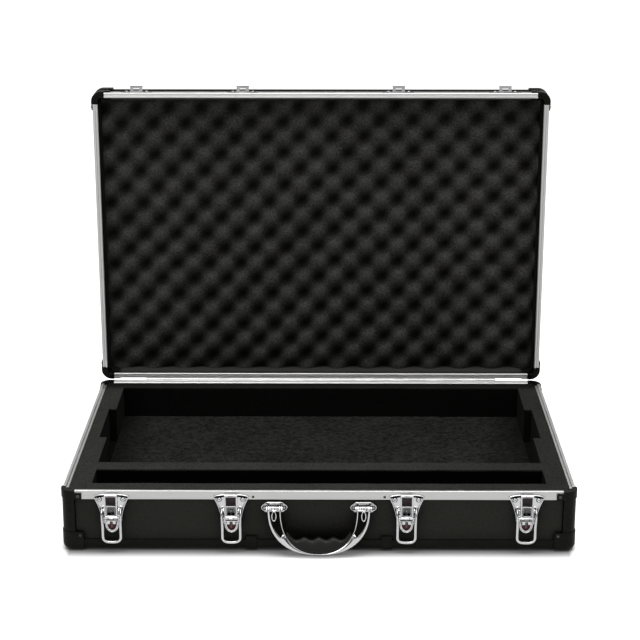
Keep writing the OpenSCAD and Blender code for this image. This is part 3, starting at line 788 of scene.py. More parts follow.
def cut_foam(node, name, mat, body, slot, edge, cell, amount, keep, seed, rough_top=False):
    """The CAD block with rounded edges and uneven faces.

    Points within keep of the block's bounds stay put, but for the top if rough_top.
    """
    ob = bevelled_copy(node, name, flat=0.5, width=edge, segments=3, angle=40)
    lo, hi = box_mm(node)
    fixed = [(axis, lo[axis]) for axis in range(3)]
    fixed += [(axis, hi[axis]) for axis in range(2 if rough_top else 3)]
    with editing(ob.data) as bm:
        for axis in range(3):
            count = int((hi[axis] - lo[axis]) / cell)
            for k in range(1, count + 1):
                place, normal = [0.0] * 3, [0.0] * 3
                place[axis] = (lo[axis] + (hi[axis] - lo[axis]) * k / (count + 1)) * MM
                normal[axis] = 1.0
                bmesh.ops.bisect_plane(bm, geom=bm.verts[:] + bm.edges[:] + bm.faces[:],
                                       plane_co=place, plane_no=normal, dist=1e-7)
        bmesh.ops.remove_doubles(bm, verts=bm.verts, dist=2e-6)
        bm.normal_update()
        for vert in bm.verts:
            point = np.array(vert.co) / MM
            if any(abs(point[axis] - limit) < keep for axis, limit in fixed):
                continue
            x, y, z = point
            wave = (field(seed, x + 1.7 * z, y - 1.3 * z, 23.0) * 0.65
                    + field(seed + 5, x - z, y + z, 7.0) * 0.35)
            vert.co = Vector((point + np.array(vert.normal) * amount * wave) * MM)
        bmesh.ops.recalc_face_normals(bm, faces=bm.faces)
    shade(ob, 60)
    ob.data.materials.clear()
    ob.data.materials.append(mat)
    finish(ob, body, slot, node)


def slab(name, us, vs, height, base, place, mat):
    """A closed block with the grid height(u, v) on top and a flat underside at base.

    place maps (u, v, height) to the frame.
    """
    rows, columns = len(us), len(vs)
    grid_u, grid_v = np.meshgrid(us, vs, indexing="ij")
    flat_u, flat_v = grid_u.ravel(), grid_v.ravel()
    verts = [place(*p) for p in zip(flat_u, flat_v, height(grid_u, grid_v).ravel())]

    def at(i, j):
        return i * columns + j

    faces = [(at(i, j), at(i + 1, j), at(i + 1, j + 1), at(i, j + 1))
             for i in range(rows - 1) for j in range(columns - 1)]
    rim = ([at(i, 0) for i in range(rows)]
           + [at(rows - 1, j) for j in range(1, columns)]
           + [at(i, columns - 1) for i in range(rows - 2, -1, -1)]
           + [at(0, j) for j in range(columns - 2, 0, -1)])
    start = len(verts)
    verts.extend([place(flat_u[i], flat_v[i], base) for i in rim])
    count = len(rim)
    for k in range(count):
        m = (k + 1) % count
        faces.append((rim[k], start + k, start + m, rim[m]))
    faces.append(tuple(start + k for k in range(count))[::-1])
    me = bpy.data.meshes.new(name)
    me.from_pydata([[c * MM for c in v] for v in verts], [], faces)
    me.update()
    with editing(me) as bm:
        bmesh.ops.recalc_face_normals(bm, faces=bm.faces)
    ob = link(bpy.data.objects.new(name, me))
    shade(ob, 62)
    me.materials.append(mat)
    return ob


# ------------------------------------------------------------------ shells, frames and corners
WALLS = ("front", "rear", "left", "right")


def build_shell():
    panel = {"mat": LAMINATE, "slot": "panel_black", "width": 0.25}
    for wall in WALLS:
        soften(f"base_{wall}_panel", f"{wall}_wall_panel", body="base", **panel)
    soften("base_bottom_panel", "bottom_panel", body="base", **panel)
    soften("lid_top_panel", "lid_top_skin_panel", body="lid", **panel)
    for wall in WALLS:
        soften(f"lid_{wall}_panel", f"lid_{wall}_wall_panel", body="lid", **panel)
    for body, prefix, side_metal in (("base", "", ALU_Y), ("lid", "lid_", ALU_Z)):
        for wall in WALLS:
            metal = ALU_X if wall in ("front", "rear") else side_metal
            soften(f"{body}_{wall}_frame", f"{prefix}{wall}_frame_rail", metal, body,
                   "frame_aluminium", width=0.28, segments=3)


def build_corners():
    # node ending, name ending, material, edge width on the base and on the lid
    for node, name, mat, base_width, lid_width in (
        ("frame_corners", "rim_corners", CORNER, 0.35, 0.3),
        ("corner_posts", "corner_post_set", CORNER, 0.3, 0.3),
        ("edge_trims", "edge_trim_set", TRIM, 0.2, 0.2),
        ("corner_caps", "corner_cap_set", CORNER, 0.25, 0.25),
    ):
        for body, width in (("base", base_width), ("lid", lid_width)):
            soften(f"{body}_{node}", f"{body}_{name}", mat, body, "corner_plastic", width)
    soften("base_edge_pads", "base_edge_pad_set", TRIM, "base", "corner_plastic", 0.4)


def build_fittings():
    for kind in ("frame_screw", "cap_rivet"):
        for body in ("base", "lid"):
            soften(f"{body}_{kind}s", f"{body}_{kind}_set", DARK_STEEL, body, "dark_steel", 0.15)
    # node, name, material, body, slot, edge width
    for row in (
        ("hinge_base_leaf", "hinge_lower_leaf", HINGE_ALU, "base", "hinge_aluminium", 0.12),
        ("hinge_lid_leaf", "hinge_upper_leaf", HINGE_ALU, "lid", "hinge_aluminium", 0.12),
        ("hinge_base_rivets", "hinge_rivet_set", HINGE_ALU, "base", "hinge_aluminium", 0.15),
        ("hinge_stop_brackets", "hinge_stop_pair", DARK_STEEL, "base", "dark_steel", 0.2),
        ("hinge_pin", "hinge_pin_rod", STEEL, "base", "steel", 0.1),
        ("latch_pivot_pins", "latch_pivot_pin_set", CHROME, "base", "chrome", 0.2),
        ("handle_pins", "handle_pin_pair", STEEL, "base", "steel", 0.2),
        ("pedal_board_panel", "lift_out_board", PLYWOOD, "board", "board_wood", 0.3),
    ):
        soften(*row)


build_shell()
build_corners()
build_fittings()


# ------------------------------------------------------------------ foam, lining and carpet
EGG_DEPTH = 13.2
FLOOR_Z = box_mm("base_bottom_panel")[0][2] - 2.35  # heights of the egg waves start here


def egg_height(x, z):
    """Depth of the convoluted face below its peaks: two crossed ridge waves.

    The first wave is stronger at the lower left.
    """
    z = z - FLOOR_Z
    wavy_x = x + 2.2 * field(21, x, z, 90.0)
    wavy_z = z + 2.2 * field(22, x, z, 90.0)
    # waves per millimetre along x and z, then the phase
    first = 2 * math.pi * (0.02148 * wavy_x - 0.02032 * wavy_z) + 2.47
    second = 2 * math.pi * (0.02058 * wavy_x + 0.02145 * wavy_z) + 2.80
    lean = np.clip(0.5 - x / 900.0 - (z - 300.0) / 900.0, 0.0, 1.0)
    wave = (0.59 + 0.13 * lean) * np.cos(first) + (0.41 - 0.13 * lean) * np.cos(second)
    wave = np.sign(wave) * np.abs(wave) ** 0.9
    height = (0.5 + 0.5 * np.clip(wave, -1, 1)) ** 0.66
    height = height * (1.0 + 0.05 * field(23, x, z, 33.0)) + 0.012 * field(24, x, z, 6.0)
    return -EGG_DEPTH * (1.0 - np.clip(height, 0.0, 1.0))


def build_foam():
    cut_foam("base_foam_insert", "base_foam_tray", FOAM_BASE, "base", "foam_black", edge=1.1,
             cell=8.5, amount=0.34, keep=0.25, seed=3, rough_top=True)
    cut_foam("lid_side_lining", "lid_lining_strips", FOAM_LINING, "lid", "lining_black",
             edge=0.6, cell=9.0, amount=0.16, keep=0.3, seed=11)
    egg = slab("lid_egg_crate_pad", np.linspace(EGG_LO[0], EGG_HI[0], 295),
               np.linspace(EGG_LO[2], EGG_HI[2], 194), egg_height,
               base=-(EGG_HI[1] - EGG_LO[1]),
               place=lambda x, z, height: (x, EGG_LO[1] - height, z), mat=FOAM_EGG)
    finish(egg, "lid", "foam_black", "lid_egg_crate_foam")


def build_carpet():
    lo, hi = box_mm("pedal_board_carpet")

    def height(x, y):
        edge = np.minimum.reduce([x - lo[0], hi[0] - x, y - lo[1], hi[1] - y])
        pile = (0.22 * field(31, x, y, 3.1) + 0.18 * field(32, x, y, 5.3)
                + 0.2 * field(33, x, y, 31.0))
        return hi[2] - 0.42 + pile - 1.1 * np.clip(1 - edge / 1.6, 0, 1) ** 2

    carpet = slab("pedal_board_felt", np.linspace(lo[0], hi[0], 300),
                  np.linspace(lo[1], hi[1], 158), height, base=lo[2],
                  place=lambda x, y, z: (x, y, z), mat=CARPET)
    finish(carpet, "board", "loop_carpet", "pedal_board_carpet")


build_foam()
build_carpet()


# ------------------------------------------------------------------ draw latches
# Each part is drawn once about x = 0 and copied to the four latches.
_, LEVER_Y, LEVER_Z = joint_mm("lever_1_turn")
_, LINK_Y, LINK_Z = joint_mm("link_1_turn")
LEVER_OUT, LINK_OUT = FACE_Y - LEVER_Y, FACE_Y - LINK_Y  # pivots' distances out from the face
PLATE_TOP = box_mm("latch_plates")[1][2]
FLARE_Z = 42              # above this the plate's sides flare out
SHOULDER_Z = 75.2         # where the sides meet the arched top
RIVET_X, RIVET_Z = 15.2, 71.9


def flare(z):
    """The plate's half width at a height."""
    return 13.2 + 10.7 * max(0.0, (z - FLARE_Z) / 34.3) ** 1.8


SHOULDER_X = flare(SHOULDER_Z)


def arch(x, drop=0.0):
    """Height of the plate's arched top, less drop."""
    rise = max(0.0, 1 - (abs(x) / SHOULDER_X) ** 2.7) ** 0.55
    return SHOULDER_Z + (PLATE_TOP - 0.05 - SHOULDER_Z) * rise - drop


def plate_outline():
    heights = [FLARE_Z + (SHOULDER_Z - FLARE_Z) * i / 20 for i in range(21)]
    right = [(flare(z), z) for z in heights]
    top_xs = [SHOULDER_X * math.cos(math.pi * i / 30) for i in range(1, 30)]
    left = [(-x, z) for x, z in right[::-1]]
    return right + [(x, arch(x)) for x in top_xs] + left + bowl(9.1, 11.6, 37.4, 18)


def build_plate():
    """The plate with its U window, rivet holes and two ears for the lever's pivot."""
    window = bowl(7.9, 10.2, 37.2, 16) + [(7.9, 46.2), (-7.9, 46.2)]
    plate = relief(
        plate_outline(),
        [(0.0, -1.5), (0.0, 1.75), (0.18, 2.1), (0.55, 2.35), (1.0, 2.3), (1.35, 1.9),
         (1.75, 1.25), (2.3, 1.1), (3.0, 1.25)],
        [window] + [disc(s * RIVET_X, RIVET_Z, 1.4, 16) for s in SIDES],
        [(0.0, -1.5), (0.0, 0.9), (0.2, 1.15), (0.45, 1.25)])
    ear_outline = (arc(LEVER_OUT, LEVER_Z, 2.6, -90, 90, 14)
                   + [(1.2, LEVER_Z + 3.2), (1.2, LEVER_Z - 3.2)])
    ear = relief(ear_outline, [(0.0, -0.6), (0.0, 0.45), (0.15, 0.6)],
                 [disc(LEVER_OUT, LEVER_Z, 1.5, 18)])
    return join("latch_plate_proto", [part(plate, angle=50)]
                + [part(ear, across(s * 10.0)) for s in SIDES])


def build_rivets():
    # (radius, height) from the dimpled head down to the shank's end
    profile = [(0.0, 0.35), (0.85, 0.3), (1.05, 0.55), (1.3, 0.95), (1.8, 1.12), (2.3, 0.95),
               (2.62, 0.5), (2.66, 0.0), (1.45, -0.05), (1.42, -2.6), (0.0, -2.6)]
    return join("rivet_proto", [part(lathe(profile, 26), on_face(s * RIVET_X, RIVET_Z, 1.3))
                                for s in SIDES])


def build_spring():
    """A double torsion spring round the pivot pin, with its loop bearing on the plate."""
    wire_radius, coil_radius, pitch, turns, per_turn = 0.55, 2.15, 1.12, 4, 20
    coil = []
    for k in range(turns * per_turn + 1):
        angle = math.pi + 2 * math.pi * k / per_turn
        coil.append((-5.0 + pitch * k / per_turn, LEVER_OUT + coil_radius * math.cos(angle),
                     LEVER_Z + coil_radius * math.sin(angle)))
    # the left leg down to the middle of the loop, as (x, out, z)
    leg = [(-0.75, LEVER_OUT - coil_radius + 0.1, LEVER_Z - 1.5), (-0.62, 3.4, 50.0),
           (-0.6, 4.2, 44.0), (-0.58, 4.0, 35.6), (-0.4, 3.9, 33.8), (0.0, 3.9, 33.4)]
    path = [at_face(x, z, out) for x, out, z in mirrored(coil + leg)]
    section = disc(0, 0, wire_radius, 8)
    mesh = sweep(path, [section] * len(path), up=(1, 0.001, 0))
    return mesh_object("spring_proto", mesh, SPRING, 60)


def build_backing_and_shade_sheets():
    """Red fibre behind the plate's window, dark fibre behind the link's upper window, dark sheets
    painting the shade in the top of the plate's window and behind the link's lower window, painted
    shadow bands under the arch and rivet washers.
    """
    pieces = [
        (bowl(7.6, 9.8, 37.2, 18) + [(7.6, 41.2), (-7.6, 41.2)],
         [(0.0, -1.45), (0.0, -0.7), (0.3, -0.5)], FIBRE),
        # painted shade: a dark sheet in the top of the plate's window
        (rounded(-7.7, 41.25, 7.7, 46.1, 0.3), [(0.0, -1.45), (0.0, -0.7), (0.2, -0.5)], INLAY),
        (rounded(-7.4, 62.2, 7.4, 76.6, 0.8), [(0.0, 1.2), (0.0, 1.6), (0.25, 1.8)], FIBRE_DARK),
        # painted shade: a dark sheet behind the link's lower window
        (rounded(-6.6, 48.2, 6.6, 61.4, 1.2), [(0.0, 1.2), (0.0, 1.5), (0.25, 1.7)], INLAY),
    ]
    # painted shadow bands under the arched rim
    for s in SIDES:
        xs = [s * x for x in np.linspace(7.6, SHOULDER_X - 1.9, 14)]
        upper = [(x, arch(x, 1.55)) for x in xs]
        lower = [(x, max(z - 2.1 - 0.7 * math.sin(math.pi * k / 13), 72.9))
                 for k, (x, z) in enumerate(upper)]
        pieces.append((upper + lower[::-1], [(0.0, 0.9), (0.0, 1.3), (0.1, 1.38)], INLAY))
    for s in SIDES:
        pieces.append((disc(s * RIVET_X, RIVET_Z, 3.25, 26),
                       [(0.0, 0.9), (0.0, 1.3), (0.12, 1.4)], INLAY))
    return join("backing_and_shade_proto", [part(relief(outline, steps), mat=mat)
                              for outline, steps, mat in pieces])


def lever_loop():
    """The bent loop: its section lies flat to the latch, thinner at its ends and top."""
    # (x, out, z) from the right end down to the middle of the bottom
    half = [(12.2, 5.3, 60.0), (12.25, 6.7, 57.6), (12.25, 8.5, 53.0), (12.2, 9.5, 48.6),
            (12.0, 9.0, 44.4), (11.7, 8.1, 40.0), (11.55, 7.65, 35.0), (11.55, 7.6, 28.0),
            (11.55, 7.6, 21.5), (11.15, 7.6, 19.0), (9.5, 7.6, 16.5), (6.9, 7.6, 15.0),
            (3.9, 7.6, 14.45), (0.0, 7.6, 14.3)]
    path = face_path(mirrored(half))
    count = len(path)
    sections = []
    for i, point in enumerate(path):
        from_end = min(i, count - 1 - i) / (count / 2)
        half_width = 1.65 - 0.55 * min(1.0, max(0.0, (point[2] - 40) / 8))
        half_thick = 1.05 * (0.6 + 0.4 * min(1.0, from_end * 9))
        sections.append([(b, a) for a, b in superellipse(half_thick, half_width, 2.6, 18)])
    return sweep(path, sections, up=(0, -1, 0))


def build_lever():
    """The loop, two side cheeks, a cross web with two tabs, and the link's pin."""
    parts = [part(lever_loop(), lambda x, y, z: (x, y, z), 60)]
    # (out, z) down the back edge from the pivot, then up the front edge
    cheek_outline = arc(LEVER_OUT, LEVER_Z, 2.8, 35, 200, 14) + [
        (3.3, 54.0), (4.6, 50.0), (5.6, 46.4), (5.9, 41.0), (6.2, 33.0), (6.9, 30.2),
        (7.8, 30.2), (8.6, 36.0), (9.5, 42.0), (10.2, 47.0), (10.0, 50.0), (8.9, 54.0),
        (7.6, 57.3)]
    cheek = relief(cheek_outline, [(0.12, 0.0), (0.0, 0.12), (0.0, 1.15), (0.15, 1.3)],
                   [disc(LEVER_OUT, LEVER_Z, 1.55, 18)])
    parts += [part(cheek, across(s * 11.6, scale=s)) for s in SIDES]
    web_path = face_path(mirrored([(-11.4, 7.7, 44.2), (-8.0, 7.75, 44.3), (0.0, 7.8, 44.4)]))
    web = sweep(web_path, [superellipse(0.6, 0.62, 3.0, 18)] * len(web_path), up=(0, 0, 1))
    parts.append(part(web, lambda x, y, z: (x, y, z), 60))
    for s in SIDES:
        tab = relief(rounded(min(s * 1.8, s * 5.7), 40.0, max(s * 1.8, s * 5.7), 45.0, 0.7),
                     [(0.15, 7.3), (0.0, 7.45), (0.0, 8.2), (0.2, 8.45), (0.5, 8.5)])
        parts.append(part(tab, angle=45))
    pin = lathe([(0, -12.9), (1.1, -12.9), (1.2, -12.75), (1.2, 12.75), (1.1, 12.9), (0, 12.9)],
                20)
    parts.append(part(pin, across(out=LINK_OUT, height=LINK_Z)))
    head = lathe([(0, 0.0), (1.9, 0.0), (2.0, 0.2), (1.75, 0.75), (1.0, 1.05), (0, 1.1)], 20)
    parts += [part(head, across(s * 12.85, scale=s * 0.55, out=LINK_OUT, height=LINK_Z))
              for s in SIDES]
    return join("lever_proto", parts)


def build_link():
    """A windowed strap rolled round the lever's pin, with a hooked top and a dark strip painting
    the shade of the gap under it.
    """
    half_barrel = 8.4
    bands = [part(lathe(band_profile(x, inner=1.3, edge=1.96, outer=2.03, half_width=0.3,
                                     half_flat=0.18), 30),
                  across(out=LINK_OUT, height=LINK_Z), mat=INLAY) for x in (-3.7, 3.7)]
    strap = relief(
        rounded(-half_barrel, LINK_Z + 1.2, half_barrel, 80.7, 1.1, 4),
        [(0.15, 7.4), (0.0, 7.55), (0.0, 8.55), (0.2, 8.8), (0.6, 8.95), (1.1, 8.85), (1.5, 8.6)],
        [rounded(-6.5, 65.4, 6.5, 77.7, 0.9, 4), rounded(-5.0, 52.4, 5.0, 62.4, 1.0, 4)],
        [(0.0, 7.4), (0.0, 8.45), (0.12, 8.6), (0.4, 8.6)])
    barrel = relief(disc(LINK_OUT, LINK_Z, 1.95, 30),
                    [(0.2, -half_barrel), (0.0, -8.15), (0.0, 8.15), (0.2, half_barrel)],
                    [disc(LINK_OUT, LINK_Z, 1.26, 20)])
    hook_path = face_path([(0, 8.2, 78.6), (0, 8.15, 79.9), (0, 7.4, 80.55), (0, 6.0, 80.6),
                           (0, 5.0, 80.1)])
    hook_section = [(-b, a) for a, b in superellipse(8.35, 0.6, 7.0, 28)]
    hook = sweep(hook_path, [hook_section] * len(hook_path), up=(1, 0, 0))
    # painted shade: a dark strip on the top bar for the shaded gap under the hook
    slot_shade_strip = relief(rounded(-3.6, 79.25, 3.6, 80.0, 0.3),
                      [(0.0, 8.3), (0.0, 8.93), (0.08, 8.98)])
    return join("link_proto", bands + [
        part(strap, angle=45),
        part(barrel, across()),
        part(hook, lambda x, y, z: (x, y, z), 50),
        part(slot_shade_strip, angle=45, mat=INLAY),
    ])


# builder, name, body, slot, replaced nodes; {} stands for the latch's number
for build, name, body, slot, nodes in (
    (build_plate, "latch_plate", "base", "chrome", ["latch_plates"]),
    (build_rivets, "latch_plate_rivet_pair", "base", "chrome", ["latch_plate_rivets"]),
    (build_spring, "latch_torsion_spring", "base", "steel", ["latch_springs"]),
    (build_backing_and_shade_sheets, "latch_backing_and_shade_sheets", "base", "grip_plastic", []),
    (build_lever, "draw_lever", "lever_{}", "chrome", ["latch_lever_{}"]),
    (build_link, "draw_link", "link_{}", "chrome", ["latch_link_{}"]),
):
    proto = build()
    for i in LATCHES:
        copy = link(bpy.data.objects.new(f"{name}_{i}", proto.data))
        copy.location = (JOINTS[f"lever_{i}_turn"]["pos_m"][0], 0, 0)
        finish(copy, body.format(i), slot, *[node.format(i) for node in nodes])
    bpy.data.objects.remove(proto)
soften("lid_strikes", "lid_strike_set", CHROME, "lid", "chrome", 0.25, 3)
soften("lid_strike_rivets", "lid_strike_rivet_set", CHROME, "lid", "chrome", 0.2)


# ------------------------------------------------------------------ drop handle
_, PIVOT_Y, PIVOT_Z = joint_mm("handle_swing")
REACH = 59.0              # from the pivots to the bow's lower edge
HALF_THICK = 4.5          # of the bow, and the bosses' radius
GRIP_HALF_THICK = 7.5
BOSS_HALF = 8.3           # half length of a pivot boss
HANDLE_LO, HANDLE_HI = box_mm("handle_frame")
OUTER_X = HANDLE_HI[0]    # the bow's half widths at the pivots
INNER_X = OUTER_X - 2 * BOSS_HALF
BOSS_X = OUTER_X - BOSS_HALF
INNER_REACH = 57.6

# the angle at which the bow's lower corners touch the front and bottom of the CAD frame's box
FORWARD, DOWN = PIVOT_Y - HANDLE_LO[1], PIVOT_Z - HANDLE_LO[2]
_square = REACH ** 2 - HALF_THICK ** 2
HANG = math.atan2((REACH * FORWARD - HALF_THICK * DOWN) / _square,
                  (REACH * DOWN - HALF_THICK * FORWARD) / _square)


def hang(x, d, t):
    """(x, up along the handle, through its thickness to the front) to the frame."""
    c, s = math.cos(HANG), math.sin(HANG)
    return (x, PIVOT_Y - t * c + d * s, PIVOT_Z + t * s + d * c)


def hang_side(side):
    """Places a plate on the handle's front (1) or back (-1)."""
    return lambda x, d, t: hang(x, d, t * side)


def on_boss(s):
    """Places a lathed solid along X on the left (-1) or right (1) pivot."""
    return lambda a, b, c: hang(s * BOSS_X + c, b, a)


BOW_POWER = 2.3


def bow_point(half_x, reach, degrees):
    """A point of the lower half of a superellipse."""
    angle = math.radians(degrees)
    c, s = math.cos(angle), math.sin(angle)
    return (half_x * math.copysign(abs(c) ** (2 / BOW_POWER), c),
            -reach * abs(s) ** (2 / BOW_POWER))


def arm_window(s):
    """The recess in one arm's face, closed by a chevron that points up."""
    angles = np.linspace(0.9, 89.0, 150)

    def arm_part(points, lowest):
        kept = []
        for x, d in points:
            if d < lowest:
                break
            if d < -1.6:
                kept.append((x, d))
        return kept

    def outer_point(angle):
        along_arm = min(1.0, abs(bow_point(OUTER_X, REACH, angle)[1]) / 40.0)
        rim = 1.9 + 2.9 * along_arm ** 1.15
        return bow_point(OUTER_X - rim, REACH - rim, angle)

    inner_rim = 1.3
    outer = arm_part([outer_point(angle) for angle in angles], -36.6)
    inner = arm_part([bow_point(INNER_X + inner_rim, INNER_REACH + inner_rim, angle)
                      for angle in angles], -36.0)
    (out_x, out_d), (in_x, in_d) = outer[-1], inner[-1]
    chevron = (0.5 * (out_x + in_x), 0.5 * (out_d + in_d) + 4.6)
    return [(s * x, d) for x, d in outer + [chevron] + inner[::-1]]


WINDOWS = [arm_window(1), arm_window(-1)]


def build_bow():
    """A core between two windowed skins, with grooved pivot bosses and a ring by each."""
    sweep_steps = 96
    outline = [bow_point(OUTER_X, REACH, 180 * i / sweep_steps) for i in range(sweep_steps + 1)]
    outline += [bow_point(INNER_X, INNER_REACH, 180 - 180 * i / sweep_steps)
                for i in range(sweep_steps + 1)]
    parts = [part(relief(outline, [(0.0, -3.9), (0.0, 3.9)]), hang)]
    cover = relief(outline, [(0.0, 3.2), (0.0, 4.0), (0.16, 4.33), (0.42, HALF_THICK)],
                   WINDOWS, [(0.0, 3.2), (0.0, 4.1), (0.12, 4.4), (0.34, HALF_THICK)])
    parts += [part(cover, hang_side(side)) for side in (1, -1)]

    grooves = ((-5.4, 0.8), (-1.6, 0.6), (2.0, 0.6), (5.6, 0.8))  # place along the boss, depth
    groove_width = 0.55
    profile = [(0.0, -BOSS_HALF), (3.7, -BOSS_HALF), (4.25, -8.1), (4.5, -7.5)]
    for u in np.linspace(-6.9, 6.9, 57):
        cut = sum(depth * math.exp(-(((u - centre) / groove_width) ** 2))
                  for centre, depth in grooves)
        profile.append((HALF_THICK - cut, u))
    profile += [(4.5, 7.5), (4.25, 8.1), (3.7, BOSS_HALF), (0.0, BOSS_HALF)]
    out = np.array(hang(0, 0, 1)) - np.array(hang(0, 0, 0))
    for s in SIDES:
        parts.append(part(lathe(profile, 40), on_boss(s)))
        for side in (1, -1):
            path = [hang(x, d, side * (HALF_THICK - 0.15))
                    for x, d in ellipse(s * (BOSS_X + 0.2), -8.55, 2.65, 6.05, 48)]
            ring = sweep(path, [disc(0, 0, 0.75, 10)] * len(path), up=out, closed=True)
            parts.append(part(ring, lambda x, y, z: (x, y, z), 60))
    finish(join("handle_bow", parts), "handle", "chrome", "handle_frame")


def build_inlays():
    """Dark plates in the arms' windows and dark bands round the bosses."""
    parts = []
    for window in WINDOWS:
        plate = relief(window, [(0.05, 3.7), (0.05, 4.0), (0.25, 4.14)])
        parts += [part(plate, hang_side(side), mat=INLAY) for side in (1, -1)]
    for s in SIDES:
        for centre in (-3.4, 0.2, 3.8):
            band = lathe(band_profile(centre, inner=3.2, edge=4.5, outer=4.58, half_width=0.5,
                                      half_flat=0.3), 40)
            parts.append(part(band, on_boss(s), mat=INLAY))
    finish(join("handle_inlays", parts), "handle", "grip_plastic", "handle_frame")


def build_grip():
    """The finger grip: rounded sections between a wavy top and the bow's inner edge."""
    half_x = box_mm("handle_grip")[1][0]
    edge_x, edge_reach = INNER_X - 0.1, INNER_REACH - 0.1
    stations = np.concatenate([[-1.0, -0.996, -0.985], np.linspace(-0.96, 0.96, 111),
                               [0.985, 0.996, 1.0]]) * (half_x - 0.15)
    rings = []
    for x in stations:
        from_middle = abs(x) / half_x
        tip = max(0.0, 1 - from_middle)
        fullness = min(1.0, math.sqrt(min(1.0, tip / 0.045 + 0.02)))
        top = -(37.7 - 1.6 * math.cos(2 * math.pi * x / 19) - 0.09 * max(0.0, abs(x) - 32) ** 2)
        low = -edge_reach * max(0.0, 1 - (abs(x) / edge_x) ** BOW_POWER) ** (1 / BOW_POWER)
        middle = 0.5 * (top + low)
        half_height = 0.5 * (top - low) * (0.35 + 0.65 * fullness)
        thick = GRIP_HALF_THICK * (1.0 - 0.36 * from_middle ** 3) * (0.45 + 0.55 * fullness)
        rings.append([hang(x, middle + b, a)
                      for a, b in superellipse(thick, half_height, 3.1, 32)])
    grip = mesh_object("handle_finger_grip", skin(rings), GRIP, 50)
    finish(grip, "handle", "grip_plastic", "handle_grip")


build_bow()
build_inlays()
build_grip()

# ------------------------------------------------------------------ handle brackets
EAR_X, EAR_RADIUS = 12.6, 4.5       # the bracket's round ends
BODY_X, BODY_RADIUS = 7.5, 7.6      # its wider middle
SCREW_X = 12.75


def bracket_outline():
    """The outline of the joined round ends and middle, found along 96 rays."""
    shapes = ((EAR_X, EAR_RADIUS), (BODY_X, BODY_RADIUS))

    def inside(x, z):
        return any((abs(x) <= centre and abs(z) <= radius)
                   or (abs(x) - centre) ** 2 + z ** 2 <= radius * radius
                   for centre, radius in shapes)

    loop = []
    for i in range(96):
        angle = 2 * math.pi * i / 96
        near, far = 0.0, 30.0
        for _ in range(30):
            middle = 0.5 * (near + far)
            if inside(middle * math.cos(angle), middle * math.sin(angle)):
                near = middle
            else:
                far = middle
        loop.append((near * math.cos(angle), near * math.sin(angle)))
    return loop


def build_brackets():
    """A domed plate with two lugs at each pivot."""
    pivot_out = FACE_Y - PIVOT_Y
    dome = relief(bracket_outline(),
                  [(0.0, -1.6), (0.0, 0.25), (0.25, 0.6), (0.8, 0.85), (1.6, 0.98)],
                  [disc(s * EAR_X, 0, 1.6, 20) for s in SIDES])
    lug = relief(arc(pivot_out, 0, 4.3, -90, 90, 18) + [(0.7, 5.2), (0.7, -5.2)],
                 [(0.2, -0.85), (0.0, -0.65), (0.0, 0.65), (0.2, 0.85)],
                 [disc(pivot_out, 0, 2.0, 20)])
    for s, side in zip(SIDES, ("left", "right")):
        parts = [part(dome, on_face(s * BOSS_X, PIVOT_Z), 45)]
        parts += [part(lug, across(s * BOSS_X + k * 9.75, height=PIVOT_Z)) for k in SIDES]
        finish(join("handle_bracket_" + side, parts), "base", "chrome", "handle_brackets")


def build_screws():
    # (radius, height) from the dimpled head down to the shank's end
    profile = [(0.0, 0.5), (0.3, 0.45), (0.42, 0.7), (0.75, 1.1), (1.2, 1.15), (1.62, 0.9),
               (1.8, 0.5), (1.8, 0.0), (1.3, -0.05), (1.28, -2.0), (0.0, -2.0)]
    spots = [s * BOSS_X + k * SCREW_X for s in SIDES for k in SIDES]
    screws = [part(lathe(profile, 26), on_face(x, PIVOT_Z, 0.95), mat=STEEL) for x in spots]
    finish(join("handle_screw_set", screws), "base", "steel", "handle_screws")
    washer = relief(disc(0, 0, 3.1, 28), [(0.0, 0.5), (0.0, 1.05), (0.12, 1.2)],
                    [disc(0, 0, 1.7, 20)], [(0.0, 0.5), (0.0, 1.12)])
    parts = [part(washer, on_face(x, PIVOT_Z), mat=INLAY) for x in spots]
    # painted shade: a small dark oval above each end of each bracket's middle, for the shaded
    # pocket between the lobes and the lugs
    for s in SIDES:
        for k in SIDES:
            shade_oval = relief(ellipse(k * 8.7, 5.35, 2.7, 0.95, 26),
                          [(0.0, 0.4), (0.0, 1.0), (0.1, 1.08)])
            parts.append(part(shade_oval, on_face(s * BOSS_X, PIVOT_Z), mat=INLAY))
    finish(join("handle_screw_washers_and_shade_ovals", parts), "base", "steel")


build_brackets()
build_screws()


# ------------------------------------------------------------------ floor
def floor_material():
    """White paper: pure white away from the case, darkened close to it by a painted contact shadow,
    and a calmer grey where metal mirrors it.
    """
    g = new_material("studio_floor")
    vec = g.coords()
    paper = g.mix(g.remap(g.noise(vec, scale=2.2), span=(0.35, 0.65)),
                  (0.94, 0.94, 0.94), (0.965, 0.965, 0.965))
    rays = g.node("LightPath").outputs
    place = g.split(vec)
    # distances from the case in metres; those to the sides and back count more
    half_width, front, side_weight = 0.325, -FACE_Y * MM - 0.004, 3.0
    beside = g.math("MAXIMUM", g.less(g.math("ABSOLUTE", place["X"]), half_width), 0.0)
    ahead = g.math("MAXIMUM", g.less(g.times(place["Y"], -1.0), front), 0.0)
    behind = g.math("MAXIMUM", place["Y"], 0.0)
    away = g.add(g.times(beside, side_weight), g.add(ahead, g.times(behind, side_weight)))
    glow = g.remap(away, span=(0.010, 0.060), to=(0.0, 0.8), smooth=True)
    # painted shadow: the paper darkens towards the case's foot
    painted_contact_shadow = g.remap(away, span=(0.0, 0.030), to=(0.25, 1.0), smooth=True)
    return g.surface(
        Base_Color=g.mix(rays["Is Glossy Ray"], g.darken(paper, painted_contact_shadow), (0.68, 0.68, 0.68)),
        Roughness=0.9, Specular_IOR_Level=0.0, Emission_Color=(1.0, 1.0, 1.0),
        Emission_Strength=g.times(glow, rays["Is Camera Ray"]))


